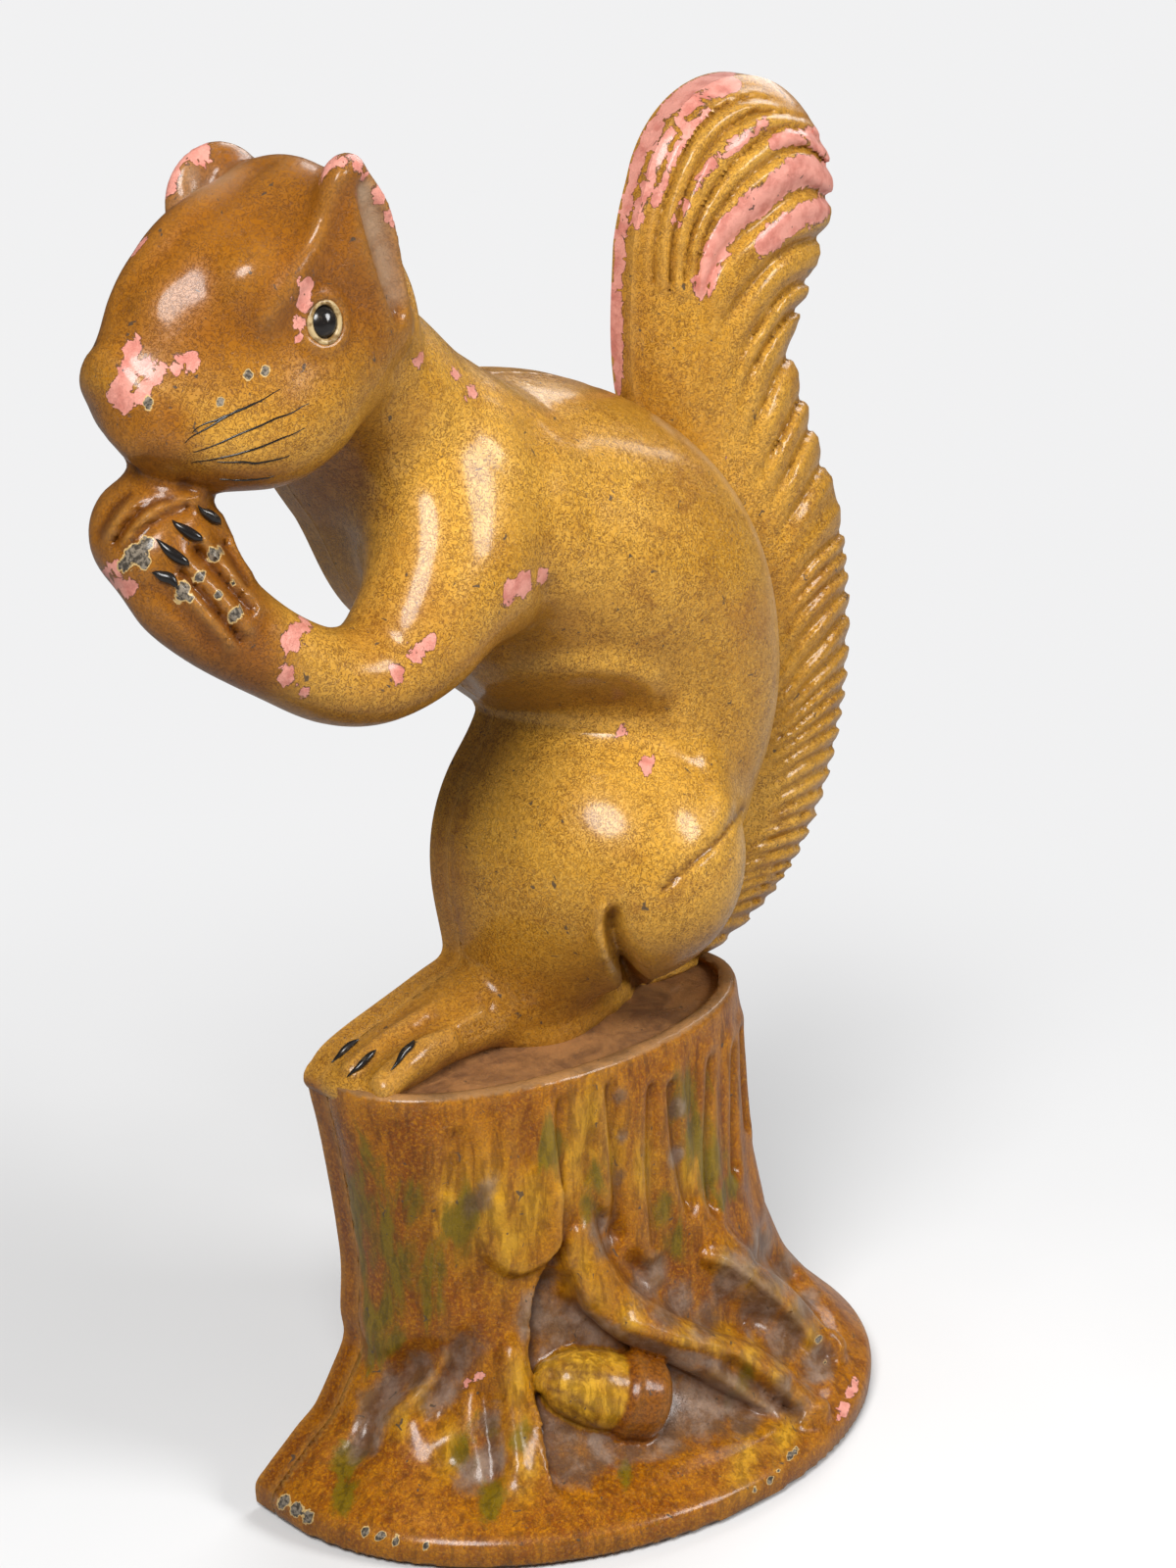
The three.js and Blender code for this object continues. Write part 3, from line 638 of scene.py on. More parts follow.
# Dips, ridges and forked root ends of the stump: height, width, points of the photograph.
STEM = (
    (-2.6, 4.2, ((372, 1476), (380, 1448), (396, 1424), (420, 1400))),
    (-2.4, 5, ((450, 1440), (462, 1410), (474, 1378))),
    (2, 2.4, ((396, 1446), (424, 1424), (446, 1402), (454, 1388))),
    (-1.8, 2.6, ((494, 1424), (497, 1455), (502, 1490), (504, 1510))),
    (-1.5, 4, ((462, 1490), (478, 1508), (492, 1520))),
    (1.6, 3, ((520, 1390), (524, 1440), (530, 1500))),
    (-1.4, 4.5, ((345, 1490), (352, 1512))),
    (-2.4, 1.8, ((744, 1390), (772, 1412), (800, 1434), (812, 1444))),
    (1.5, 2.4, ((640, 1352), (700, 1368), (740, 1376), (770, 1388), (800, 1408))),
    (1.2, 2.2, ((728, 1402), (756, 1420), (786, 1442), (826, 1450))),
    (-2, 2.6, ((646, 1290), (664, 1316), (690, 1336), (720, 1350), (756, 1354))),
    (1.8, 2, ((722, 1282), (752, 1292), (784, 1312), (812, 1340), (834, 1372))),
    (-1.6, 3, ((776, 1284), (806, 1308), (836, 1346), (846, 1378))),
    (1.2, 3, ((590, 1262), (586, 1292), (600, 1326))),
    (-1.2, 2.2, ((606, 1232), (616, 1256), (624, 1276))),
    (1, 2.2, ((574, 1220), (572, 1260), (580, 1290))),
    (-1.4, 2, ((820, 1400), (838, 1420))))
# Lines on the acorn, and patches of colour on the stump as point of the photograph and reach.
NUT_LINES = (
    ((558, 1398), (580, 1392), (604, 1394)),
    ((558, 1406), (580, 1404), (600, 1408)),
    ((560, 1416), (584, 1424), (606, 1440)),
    ((566, 1428), (588, 1442), (610, 1458)),
    ((576, 1444), (600, 1458), (622, 1468)),
    ((562, 1400), (590, 1400), (622, 1404)))
PINK_STEM = (
    (868, 1420, 3), (872, 1408, 2.2), (862, 1436, 2.8), (856, 1446, 2), (476, 1412, 1.9), (484, 1408, 1.9),
    (491, 1402, 1.7))
WORN_STEM = (
    (290, 1532, 2.2), (302, 1540, 2.4), (314, 1548, 2), (372, 1564, 1.8), (388, 1568, 2), (404, 1572, 1.8),
    (435, 1577, 1.4), (812, 1480, 1.6), (806, 1486, 1.6), (786, 1510, 1.6), (795, 1500, 1.2),
    (324, 1116, 1.6), (836, 1366, 1.4), (842, 1390, 1), (770, 1520, 1.2))
GREEN_STEM = (
    (366, 1200, 6), (372, 1240, 8), (388, 1270, 8), (404, 1300, 9), (440, 1300, 8), (440, 1330, 7),
    (392, 1340, 8), (386, 1372, 6), (404, 1372, 5), (352, 1496, 6), (350, 1522, 5), (500, 1530, 5),
    (476, 1480, 6), (530, 1466, 5), (700, 1120, 7), (704, 1160, 7), (728, 1190, 7), (680, 1230, 6),
    (690, 1270, 7), (744, 1212, 5), (608, 1200, 6), (600, 1230, 5), (760, 1408, 4), (742, 1428, 4),
    (470, 1250, 7), (420, 1220, 7), (560, 1170, 5), (670, 1556, 1.6), (640, 1500, 4), (500, 1460, 4))
VIOLET_STEM = (
    (664, 1302, 6), (690, 1330, 6), (722, 1346, 6), (748, 1304, 7), (776, 1330, 8), (804, 1362, 7),
    (832, 1394, 6), (800, 1424, 5), (816, 1436, 4), (700, 1424, 6), (726, 1446, 7), (760, 1444, 6),
    (690, 1440, 5), (570, 1368, 5), (546, 1340, 5), (372, 1474, 5), (380, 1440, 6), (396, 1420, 5),
    (470, 1384, 7), (452, 1420, 6), (496, 1450, 4), (500, 1490, 5), (480, 1506, 5), (430, 1400, 5),
    (612, 1250, 3), (620, 1270, 3), (632, 1120, 2.6), (634, 1160, 2.4), (632, 1200, 2.2), (690, 1130, 2.4),
    (690, 1180, 2.4), (490, 1222, 4), (776, 1272, 5), (800, 1296, 5), (824, 1330, 5))
GOLD_STEM = (
    (500, 1240, 9), (520, 1270, 8), (540, 1230, 7), (460, 1230, 7), (590, 1190, 7), (620, 1180, 6),
    (660, 1190, 5), (700, 1190, 6), (586, 1300, 6), (600, 1340, 6), (640, 1356, 5), (700, 1372, 5),
    (732, 1378, 5), (764, 1388, 4), (792, 1404, 3), (740, 1288, 3), (766, 1300, 3), (790, 1318, 3),
    (812, 1342, 3), (828, 1366, 3), (410, 1450, 3), (430, 1428, 3), (460, 1480, 5), (600, 1140, 6),
    (716, 1180, 5), (528, 1410, 5), (532, 1460, 5), (536, 1500, 5), (800, 1460, 6), (760, 1490, 6))
# The stump's profile: height, middle x, half width, half depth.
STUMP_ROWS = np.array([
    [FLOOR_Z, 1.5, 77, 60.5], [6, 1.5, 77, 60.5], [9, 1.8, 74, 56.5], [16, 2.4, 66.5, 46.5],
    [26, 1.6, 60, 39], [37, 1.5, 55.4, 34.2], [48, 0.8, 53, 31.2], [60, -1.2, 52.3, 29.6],
    [77, -3.6, 52.8, 29], [94, -5.8, 53.5, 29], [STUMP_TOP, -6.2, 52.4, 28]])
STUMP_LINE = spline(STUMP_ROWS, 120)


class Stump:
    """Level ellipses whose middle, width and depth follow a profile over the height."""

    low = np.array([-76.0, -61.0, 0.0])
    high = np.array([80.0, 61.0, STUMP_TOP])

    def __init__(self, inset=0.0, top=STUMP_TOP, bottom=FLOOR_Z):
        self.inset, self.top, self.bottom = inset, top, bottom

    def field(self, p):
        """The scaled distance from the middle less one, times the depth, cut off at the top and the foot."""
        row = [np.interp(p[:, 2], STUMP_LINE[:, 0], STUMP_LINE[:, i]) for i in (1, 2, 3)]
        a, b = row[1] - self.inset, row[2] - self.inset
        k = np.sqrt(((p[:, 0] - row[0]) / a) ** 2 + (p[:, 1] / b) ** 2)
        side = (k - 1.0) * b
        return np.maximum(np.maximum(side, p[:, 2] - self.top), self.bottom - p[:, 2])


# The stump's dished top as width of its rim and level of the dish, heights clear of the stump,
# and its hollow as inset and top.
RIM_WALL, DISH_Z = 4.0, 95.0
ABOVE_ALL, BELOW_ALL = 140.0, -20.0
HOLLOW_INSET, HOLLOW_TOP = 15.0, 84.0
POST_RADIUS, POST_FRONT, POST_BACK = 7.5, -20.0, PART_Y + 4
# Each pad's boss and recess under the slab: radius and top.
BOSS_RADIUS, BOSS_TOP = 9.6, 6.8
RECESS_RADIUS, RECESS_TOP = 7.3, 3.3


def build_trunk():
    """The stump: level ellipses with a dished top, relief of the bark, roots and the acorn. Its outline
    at the parting plane is stored before the hollow, the pads' recesses and the posts are made."""
    grid = Grid((-81, -64, -1.6), (84, 9.2, 101), 1.0)
    grid.add(Stump(), 0.5)
    grid.carve(Stump(RIM_WALL, ABOVE_ALL, DISH_Z), 1.2)
    height = grid.axes[2]
    relief = bark_height(*np.meshgrid(grid.axes[0], height, indexing="ij"))
    relief *= smooth(height, 6.5, 12.0) * (1 - smooth(height, 90.0, 95.0))
    grid.values -= relief[:, None, :].astype(np.float32)
    for form, fillet in ((roots[0], 3.0), (roots[1], 3.0), (acorn_nut, 1.0), (acorn_cap, 0.6)):
        grid.add(form, fillet)
    press(grid, (-81, -64, 7), (84, 6, 92), 4.0, STEM)
    grid.outline = grid.slice_at(PART_Y)
    grid.carve(Stump(HOLLOW_INSET, HOLLOW_TOP, BELOW_ALL), 1.0)
    for x, y in PADS:
        grid.add(Bar((x, y, FLOOR_Z), (x, y, BOSS_TOP), BOSS_RADIUS), 1.0)
        grid.carve(Bar((x, y, -3), (x, y, RECESS_TOP), RECESS_RADIUS), 0.3)
    for x, z in POSTS[2:]:
        grid.add(Bar((x, POST_FRONT, z), (x, POST_BACK, z), POST_RADIUS), 1.0)
    return grid


# Ridges and grooves of the animal: height, width, points of the photograph.
HAND = (
    (0.9, 2, ((226, 531), (236, 545), (246, 565), (254, 585))),
    (1.5, 2, ((208, 551), (222, 568), (236, 588), (250, 606), (262, 622))),
    (1.5, 2, ((192, 577), (206, 590), (222, 607), (240, 627), (254, 642))),
    (1.5, 2, ((178, 595), (192, 607), (206, 622), (222, 640), (236, 654))),
    (-0.9, 1.1, ((228, 556), (240, 576), (252, 596))),
    (-1.8, 1.1, ((200, 562), (212, 574), (226, 590), (240, 606), (256, 622))),
    (-1.8, 1.1, ((184, 584), (198, 598), (212, 613), (226, 630), (244, 652))),
    (-0.9, 2, ((168, 604), (184, 620), (200, 637), (218, 656))),
    (1.6, 1.7, ((200, 505), (180, 511), (155, 522), (140, 535), (128, 552))),
    (1.5, 1.7, ((168, 500), (150, 504), (138, 511), (125, 522), (112, 542))),
    (-1.5, 1.1, ((176, 508), (160, 512), (146, 519), (131, 534), (119, 553))),
    (-1, 1.3, ((132, 505), (114, 522), (102, 545))),
    (-1.2, 1.2, ((190, 517), (168, 524), (150, 537), (138, 549), (128, 560))))
LEG = (
    (1.8, 4.2, ((487, 706), (520, 698), (560, 694), (600, 691), (640, 692), (662, 702))),
    (-0.5, 3.4, ((484, 722), (520, 716), (560, 711), (600, 709))),
    (-0.5, 4, ((520, 716), (560, 711), (600, 709), (640, 717), (676, 732))),
    (-3.8, 2.3, ((624, 938), (627, 956), (633, 974), (641, 990), (649, 1004))),
    (1.2, 1.8, ((614, 930), (611, 952), (616, 976))),
    (-0.9, 1, ((756, 826), (736, 854), (715, 873), (695, 890), (676, 908))),
    (1, 4, ((700, 740), (728, 780), (742, 820))))
BROW = (
    (1.6, 3.4, ((348, 176), (334, 208), (320, 248), (302, 286), (274, 326))),)
SNOUT = (
    (-3.2, 4.2, ((80, 428), (90, 446), (104, 464))),)
# The edge of the back beside the tail, as points of the photograph, where a pale line is painted as a
# highlight.
RIM = ((668, 424), (700, 450), (735, 480), (765, 525), (785, 580), (796, 640), (797, 690), (790, 740),
       (778, 790))


def build_animal():
    """The squirrel: its forms joined one after another, each with the width of its fillet, the pits
    carved, and the traced ridges and grooves pressed into the skin."""
    grid = Grid((-124, -41, 88), (74, 9.2, 297), 0.92)
    for form, fillet in ((torso, 2.0), (chest, 10.0), (thigh, 5.0), (shank, 6.0)):
        grid.add(form, fillet)
    grid.carve(heel_pit, 3.0)
    grid.add(foot, 3.0)
    for toe in toes:
        grid.add(toe, 1.6)
    for form, fillet in ((head, 9.0), (near_brow, 6.0), (crown, 7.0), (nose, 4.0)):
        grid.add(form, fillet)
    for cheek in cheeks:
        grid.add(cheek, 9.0)
    for form, fillet in ((arm, 12.0), (nut, 5.0), (near_ear, 4.0)):
        grid.add(form, fillet)
    grid.carve(near_ear_cup, 1.5)
    grid.add(far_ear, 3.5)
    grid.carve(far_ear_cup, 1.5)
    press(grid, (-124, -41, 186), (-86, 6, 236), -1.0, HAND)
    press(grid, (-40, -41, 88), (62, 6, 190), 4.0, LEG)
    press(grid, (-100, -41, 250), (-60, 6, 300), -14.0, BROW)
    press(grid, (-124, -41, 232), (-96, 6, 262), 6.0, SNOUT)
    grid.outline = grid.slice_at(PART_Y)
    return grid


def build_brush():
    """The tail, raised by its hair: at the outline the topmost locks end and the others keep a quarter
    of their height."""
    grid = Grid((10, -12, 88), (98, 9.2, 297), 0.8)
    grid.add(tail, 1.0)
    inward = smooth(-grid.slice_at(PART_Y), 0.1, 2.4)[:, None, :]
    spot = laid(*np.meshgrid(*grid.axes, indexing="ij"))
    topmost = smooth(hair.read(hair.number, *spot), 4.0, 6.5)
    share = topmost * inward + (1 - topmost) * (0.25 + 0.75 * inward)
    grid.values -= (hair.read(hair.height, *spot) * share).astype(np.float32)
    grid.outline = grid.slice_at(PART_Y)
    return grid


# The plate's holes: radius of the bore, radius and depth of the countersink.
BORE_RADIUS, SINK_RADIUS, SINK_DEPTH = 3.3, 6.4, 3.9


def build_plate(castings):
    """The rear plate: the joined outlines of the castings at the parting plane, cut off flat at the
    seam, the back and the floor, with a countersunk hole at each post."""
    grid = Grid((-82, 3.5, -1.6), (98, 14.5, 297), 1.0)
    x, z = np.meshgrid(grid.axes[0], grid.axes[2], indexing="ij")
    past = lambda v, count: np.abs(v - np.clip(v, 0, count - 1))
    for part in castings:
        wide, tall = part.outline.shape
        across, up = (x - part.low[0]) / part.step, (z - part.low[2]) / part.step
        away = np.maximum(past(across, wide), past(up, tall))
        sheet = part.outline_at(x, z) + Grid.clear * np.minimum(away, 1.0)
        grid.values = np.minimum(grid.values, sheet[:, None, :])
    grid.outline = grid.values[:, 0].copy()
    grid.cut_off(1, SEAM_Y, -1)
    grid.cut_off(1, BACK_Y, 1)
    grid.cut_off(2, FLOOR_Z, -1)
    for x, z in POSTS:
        sink = Bar((x, BACK_Y - SINK_DEPTH, z), (x, BACK_Y + 0.2, z), BORE_RADIUS, SINK_RADIUS)
        grid.carve(sink, 0.2)
        grid.carve(Bar((x, PART_Y - 2, z), (x, BACK_Y, z), BORE_RADIUS), 0.2)
    return grid


trunk, animal, brush = build_trunk(), build_animal(), build_brush()
plate = build_plate((trunk, animal, brush))
for casting in (trunk, animal, brush):
    casting.cut_off(1, PART_Y, 1)
trunk.cut_off(2, FLOOR_Z, -1)


SHARP_EDGE = math.radians(58)


def make_mesh(name, pts, quads):
    """Puts points in millimetres and four-sided faces into a mesh object in the part's frame."""
    mesh = bpy.data.meshes.new(name)
    co = ((pts + OFFSET) * METRES).astype(np.float32)
    mesh.vertices.add(len(co))
    mesh.vertices.foreach_set("co", co.ravel())
    mesh.loops.add(quads.size)
    mesh.loops.foreach_set("vertex_index", quads.ravel().astype(np.int32))
    mesh.polygons.add(len(quads))
    mesh.polygons.foreach_set("loop_start", np.arange(0, quads.size, quads.shape[1], dtype=np.int32))
    mesh.update(calc_edges=True)
    mesh.validate()
    mesh.polygons.foreach_set("use_smooth", np.ones(len(mesh.polygons), bool))
    mesh.set_sharp_from_angle(angle=SHARP_EDGE)
    obj = bpy.data.objects.new(name, mesh)
    bpy.context.scene.collection.objects.link(obj)
    return obj


# Creases and swellings of the animal: height, width, points x, y, z on the skin.
FOLDS = (
    (-1.6, 4.0, ((-30, -14, 184), (-28, -17, 187), (-26.5, -25.6, 194.5), (-28, -30, 202))),
    (-1.6, 6.5, ((-26, -24, 233), (-29, -30, 223), (-29, -32, 210))),
    (-1.5, 3.6, ((-82.8, -13.9, 289), (-95.6, -16.9, 283.8), (-105.5, -16.2, 277.5), (-113, -13, 269))),
    (1.2, 1.6, ((-54.7, -6.2, 99.4), (-41, -6.8, 104.1), (-26.7, -5.9, 105.8))),
    (1.2, 1.6, ((-56, 1, 99.4), (-45, 0.6, 104.5), (-30, 0.5, 107))),
    (-0.8, 1.5, ((-55.6, -2.6, 99.7), (-48.3, -2.6, 103.5), (-36.3, -2.4, 106.4))),
    (-1.3, 1.5, ((-116, -8, 243.5), (-113, -12, 240), (-109.5, -16.4, 237), (-104, -23, 237))),
    (-1.2, 3.0, ((-60, -28, 255), (-66, -33, 249), (-72, -35, 240))))
# Chips down to the pink coat on the animal: point x, y, z, reach.
PINK = (
    (-106.1, -9, 277.2, 3), (-85.4, 1, 289.5, 4.5), (-89.5, 1.6, 287, 4), (-91.5, 1.8, 284, 3.4),
    (-80, -30.5, 291, 4), (-76, -32, 290.5, 4), (-70.5, -33, 285, 2.6), (-67.5, -32.5, 281, 2.4),
    (-60.5, -30, 266, 2.4))
# Chips in view on the animal, to the pink coat and to the metal: point of the photograph, reach.
PINK_SEEN = (
    (118, 596, 2.6), (130, 600, 2.4), (108, 585, 2), (121, 578, 1.5), (298, 652, 3.4), (308, 640, 2.6),
    (293, 688, 2.6), (310, 705, 2), (405, 688, 3), (425, 668, 3), (440, 655, 2.2), (520, 602, 2.6),
    (535, 595, 3), (553, 587, 2), (632, 748, 2.6), (660, 782, 3.2), (480, 402, 2.4), (466, 382, 1.8),
    (427, 367, 2), (128, 390, 2.8), (136, 356, 2.9), (150, 372, 2.6), (165, 376, 2.6), (180, 374, 2.8),
    (195, 369, 2.6), (120, 400, 2.4), (130, 412, 2.8), (145, 405, 3), (130, 373, 2.4), (316, 290, 2.8),
    (310, 310, 2.4), (306, 330, 2.2), (304, 345, 1.6))
METAL_SEEN = (
    (138, 568, 2.8), (150, 556, 2.4), (128, 576, 2), (148, 574, 1.8), (220, 566, 2.4), (204, 588, 1.7),
    (238, 594, 1.1), (186, 605, 2.5), (194, 610, 1.6), (223, 607, 1.4), (240, 627, 2.2), (151, 411, 1.6),
    (225, 410, 1.2), (253, 383, 1.4), (271, 379, 1.4))
# Pink bands on the tail: strength, width, points of the photograph.
BLUSH = (
    (1, 2.8, ((626, 430), (627, 340), (628, 280), (633, 225), (642, 185), (655, 152), (672, 122),
              (692, 98), (716, 82), (742, 74))),
    (0.8, 2.2, ((650, 225), (660, 190), (672, 160), (688, 130), (706, 108), (728, 95), (750, 86))),
    (0.74, 1.8, ((668, 205), (680, 180), (690, 155), (704, 130), (722, 112))),
    (0.7, 2.2, ((690, 225), (704, 200), (720, 175), (738, 155), (758, 140), (780, 128))),
    (0.88, 2.4, ((792, 144), (815, 138), (832, 142), (846, 160))),
    (1, 4.2, ((719, 288), (725, 264), (740, 240), (760, 218), (785, 196), (810, 178), (835, 174),
              (845, 188))),
    (1, 3.2, ((778, 250), (795, 236), (815, 222), (840, 212))))
# Bare metal and pale skin as point x, y, z and reach, and the line of the near ear's cup.
METAL = ((-79, -32.5, 288.8, 2.4),)
PALE = ((-90, -6, 284, 6), (-92, -9, 279, 4))
EAR_LINE = ((-66.5, -31, 266), (-69.5, -31.5, 275), (-72, -32, 281), (-74.5, -32, 286))


def spots(p, table):
    """The highest of a set of bell curves, one per spot: its place, then its reach."""
    return np.max([np.exp(-(((p - np.array(q[:-1])) ** 2).sum(1)) / q[-1] ** 2) for q in table], axis=0)


# Corners of a face and their neighbours, both ways round.
NEIGHBOURS = ((0, 1), (1, 0), (1, 2), (2, 1), (2, 3), (3, 2), (3, 0), (0, 3))


def hollow_side(p, n, faces):
    """How far the ring of neighbours stands in front of each point: positive in a groove."""
    total, count = np.zeros_like(p), np.zeros(len(p))
    for i, j in NEIGHBOURS:
        total += np.stack([np.bincount(faces[:, i], p[faces[:, j], c], len(p)) for c in range(3)], 1)
        count += np.bincount(faces[:, i], minlength=len(p))
    return ((total / np.maximum(count, 1)[:, None] - p) * n).sum(1)


def spread(v, faces, times):
    """The mean of each point and its neighbours, taken several times."""
    for _ in range(times):
        total, count = v.copy(), np.ones(len(v))
        for i, j in NEIGHBOURS:
            total += np.bincount(faces[:, i], v[faces[:, j]], len(v))
            count += np.bincount(faces[:, i], minlength=len(v))
        v = total / count
    return v


# The eye: its middle, and the lid raised round it as height, distance and width, over a sunk middle.
EYE = np.array([-84.4, -33.2, 264.2])
LID_RISE, LID_AWAY, LID_WIDTH = 0.9, 4.6, 1.3
SOCKET_DEPTH, SOCKET_WIDTH = 0.8, 3.0


def fold_skin(points, n):
    """The animal's points moved along their directions by the folds and the eye's lid, ahead of its flat
    back."""
    rise = np.zeros(len(points))
    for height, width, line in FOLDS:
        rise += height * near_line(points, line, width)
    d = np.linalg.norm(points - EYE, axis=1)
    rise += LID_RISE * bump(d, LID_AWAY, LID_WIDTH) - SOCKET_DEPTH * bump(d, 0.0, SOCKET_WIDTH)
    return points + n * (rise * (points[:, 1] < PART_Y - 0.5))[:, None]


def brown_paint_and_painted_shade(points, n):
    """The deepest of the brown marks over the head, the nose, the hands, the shin, the undersides and
    the rear: partly the paint's own brown, partly painted shade, and only painted shade on the undersides
    and the rear."""
    x, y, z = points.T
    # Over the head, the nose, the hands and the shin the brown is partly the paint's own and partly painted
    # shade.
    over_head = smooth(-x, 52, 66) * (0.22 + 0.76 * smooth(z, 245, 266))
    nose_end = 0.95 * smooth(-x, 103, 114) * (1 - smooth(z, 250, 262)) * smooth(z, 228, 236)
    hands = 0.95 * smooth(-x, 84, 100) * (1 - smooth(z, 238, 244))
    shin = 0.55 * bump(z, 108, 14) * (1 - smooth(x, -4, 14))
    # Painted shade: darker on faces that turn downward.
    underside = 0.65 * smooth(-n[:, 2], 0.05, 0.8)
    # Painted shade: darker toward the flat back.
    rear = 0.45 * smooth(y, -6, 8)
    return np.max([over_head, nose_end, hands, shin, underside, rear], axis=0)


# Grooves narrower than this are inked, with dark lines of this width as painted shade in them.
THIN_GROOVE, INK_WIDTH, NUT_INK_WIDTH = 1.5, 0.75, 0.6


def body_masks(masks, points, seen, toward):
    """Adds the animal's chips, inked grooves as painted shade, a painted highlight line beside the tail and
    pale skin of the ears.
    """
    x, y, _ = points.T
    face = toward * (1 - smooth(y, -14, -4) * (x < -60))
    masks["pink"] = np.maximum(masks["pink"], face * spots(seen, marks(PINK_SEEN)))
    masks["metal"] = np.maximum(masks["metal"], face * spots(seen, marks(METAL_SEEN)))
    # Narrow grooves of the hand and leg get dark lines: painted shade.
    thin = [line for height, width, line in HAND + LEG if height < 0 and width < THIN_GROOVE]
    inked = np.max([face * near_line(seen, traced(line), INK_WIDTH) for line in thin], axis=0)
    masks["groove"] = np.maximum(masks["groove"], inked)
    # A pale line along the body's edge beside the tail: a painted highlight.
    painted_rim_highlight = 0.7 * face * near_line(seen, traced(RIM), 0.9)
    streak = 0.9 * near_line(points, EAR_LINE, 2.4)
    masks["pale"] = np.max([painted_rim_highlight, streak, spots(points, PALE)], axis=0)


def tail_masks(masks, points, seen, facing):
    """Adds the tail's pink bands, flat-topped bell curves round their lines, on its upper part."""
    x, _, z = points.T
    upper = (x > 20) & (z > 215)
    for worth, width, line in BLUSH:
        band = worth * np.exp(-(to_line(seen[upper], traced(line)) / width) ** 4)
        masks["pink"][upper] = np.maximum(masks["pink"][upper], band * facing[upper])


def stump_masks(masks, points, n, seen, toward):
    """Adds the stump's colours: chips, moss, gold, violet in the pit, the deck on top and the acorn."""
    x, y, z = points.T
    off_cap = smooth(acorn_cap.field(points), 0.3, 1.2)
    shell = 1 - smooth(acorn_nut.field(points), 0.2, 1.2)
    pit = pit_shape(x, z)
    tall = [1, 0.7]
    masks["metal"] = np.maximum(masks["metal"], toward * spots(seen, marks(WORN_STEM)))
    masks["pink"] = np.maximum(masks["pink"], toward * spots(seen, marks(PINK_STEM)))
    masks["green"] = toward * spots(seen * tall, marks(GREEN_STEM) * [*tall, 1])
    gold = 0.85 * toward * (1 - pit) * spots(seen * tall, marks(GOLD_STEM) * [*tall, 1])
    masks["gold"] = np.maximum(gold, shell) * off_cap
    violet = toward * spots(seen, marks(VIOLET_STEM) * [1, 1, 1.5])
    masks["violet"] = np.maximum(violet, 0.9 * pit * (y < -12)) * (1 - shell) * off_cap
    lines = np.max([near_line(seen, traced(line), NUT_INK_WIDTH) for line in NUT_LINES], axis=0)
    masks["groove"] = np.maximum(masks["groove"], 0.8 * shell * lines)
    masks["brown"] = 0.9 * (1 - off_cap)
    masks["wood"] = np.ones(len(points))
    masks["deck"] = smooth(z, 94.0, 95.0) * (n[:, 2] > 0.6)


def colour_masks(name, points, n, groove):
    """How much of each colour lies at each point of a piece, from 0 to 1."""
    none = np.zeros(len(points))
    masks = dict.fromkeys(("green", "violet", "gold", "pale", "wood", "deck"), none)
    # The groove mask darkens hollows as painted shade; the crest mask lightens ridges as painted highlight
    # and wear.
    masks["groove"], masks["crest"] = np.clip(groove * 5.0, 0, 1), np.clip(-groove * 5.0, 0, 1)
    masks["pink"], masks["metal"] = spots(points, PINK), spots(points, METAL)
    # The brown mask: the paint's own brown and painted shade.
    masks["brown"] = brown_paint_and_painted_shade(points, n)
    seen = np.stack(laid(*points.T), 1)
    toward = smooth((n * (VIEWER - points)).sum(1), 0.0, 60.0)
    if name == "squirrel_body":
        body_masks(masks, points, seen, toward)
    elif name == "brush_tail":
        tail_masks(masks, points, seen, np.ones(len(points)))
    elif name == "tree_stump":
        stump_masks(masks, points, n, seen, toward)
    else:
        tail_masks(masks, points, seen, toward)
        masks["wood"] = 1 - smooth(points[:, 2], 94, 97)
    return masks


pieces, surfaces = {}, {}
for name, grid, node, slot in (
        ("squirrel_body", animal, "front_casting", "painted_casting"),
        ("brush_tail", brush, "front_casting", "painted_casting"),
        ("tree_stump", trunk, "front_casting", "painted_casting"),
        ("rear_plate", plate, "back_plate", "painted_back")):
    points, faces = grid.skin()
    grid.true_edge(points, faces, (SEAM_Y, BACK_Y) if name == "rear_plate" else (PART_Y,))
    if name == "squirrel_body":
        points = fold_skin(points, normals(points, faces))
    n = normals(points, faces)
    piece = make_mesh(name, points, faces)
    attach(piece, "root")
    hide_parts(node)
    # How deep each point lies in a hollow: grooves get painted shade from it, crests painted highlight.
    groove = spread(hollow_side(points, n, faces), faces, 2) / grid.step
    for mask, values in colour_masks(name, points, n, groove).items():
        layer = piece.data.attributes.new(mask, "FLOAT", "POINT")
        layer.data.foreach_set("value", values.astype(np.float32))
    pieces[name], surfaces[name] = piece, (points, n)
body_points, body_normals = surfaces["squirrel_body"]


def nearest(p):
    """The closest point of the animal's skin to each given point, and its outward direction there."""
    i = np.array([np.argmin(((body_points - r) ** 2).sum(1)) for r in np.atleast_2d(p)])
    return body_points[i], body_normals[i]


def in_view(q):
    """The point of the animal's skin nearest to the viewer at each place of the laid plane, and its
    direction: distance to the viewer, with a high price on lying off the place."""
    flat = np.stack(laid(*body_points.T), 1)
    away = ((body_points - VIEWER) ** 2).sum(1)
    price = lambda r: 1e3 * np.maximum(((flat - r) ** 2).sum(1) - 0.6, 0.0)
    i = np.array([np.argmin(away + price(r)) for r in np.atleast_2d(q)])
    return body_points[i], body_normals[i]


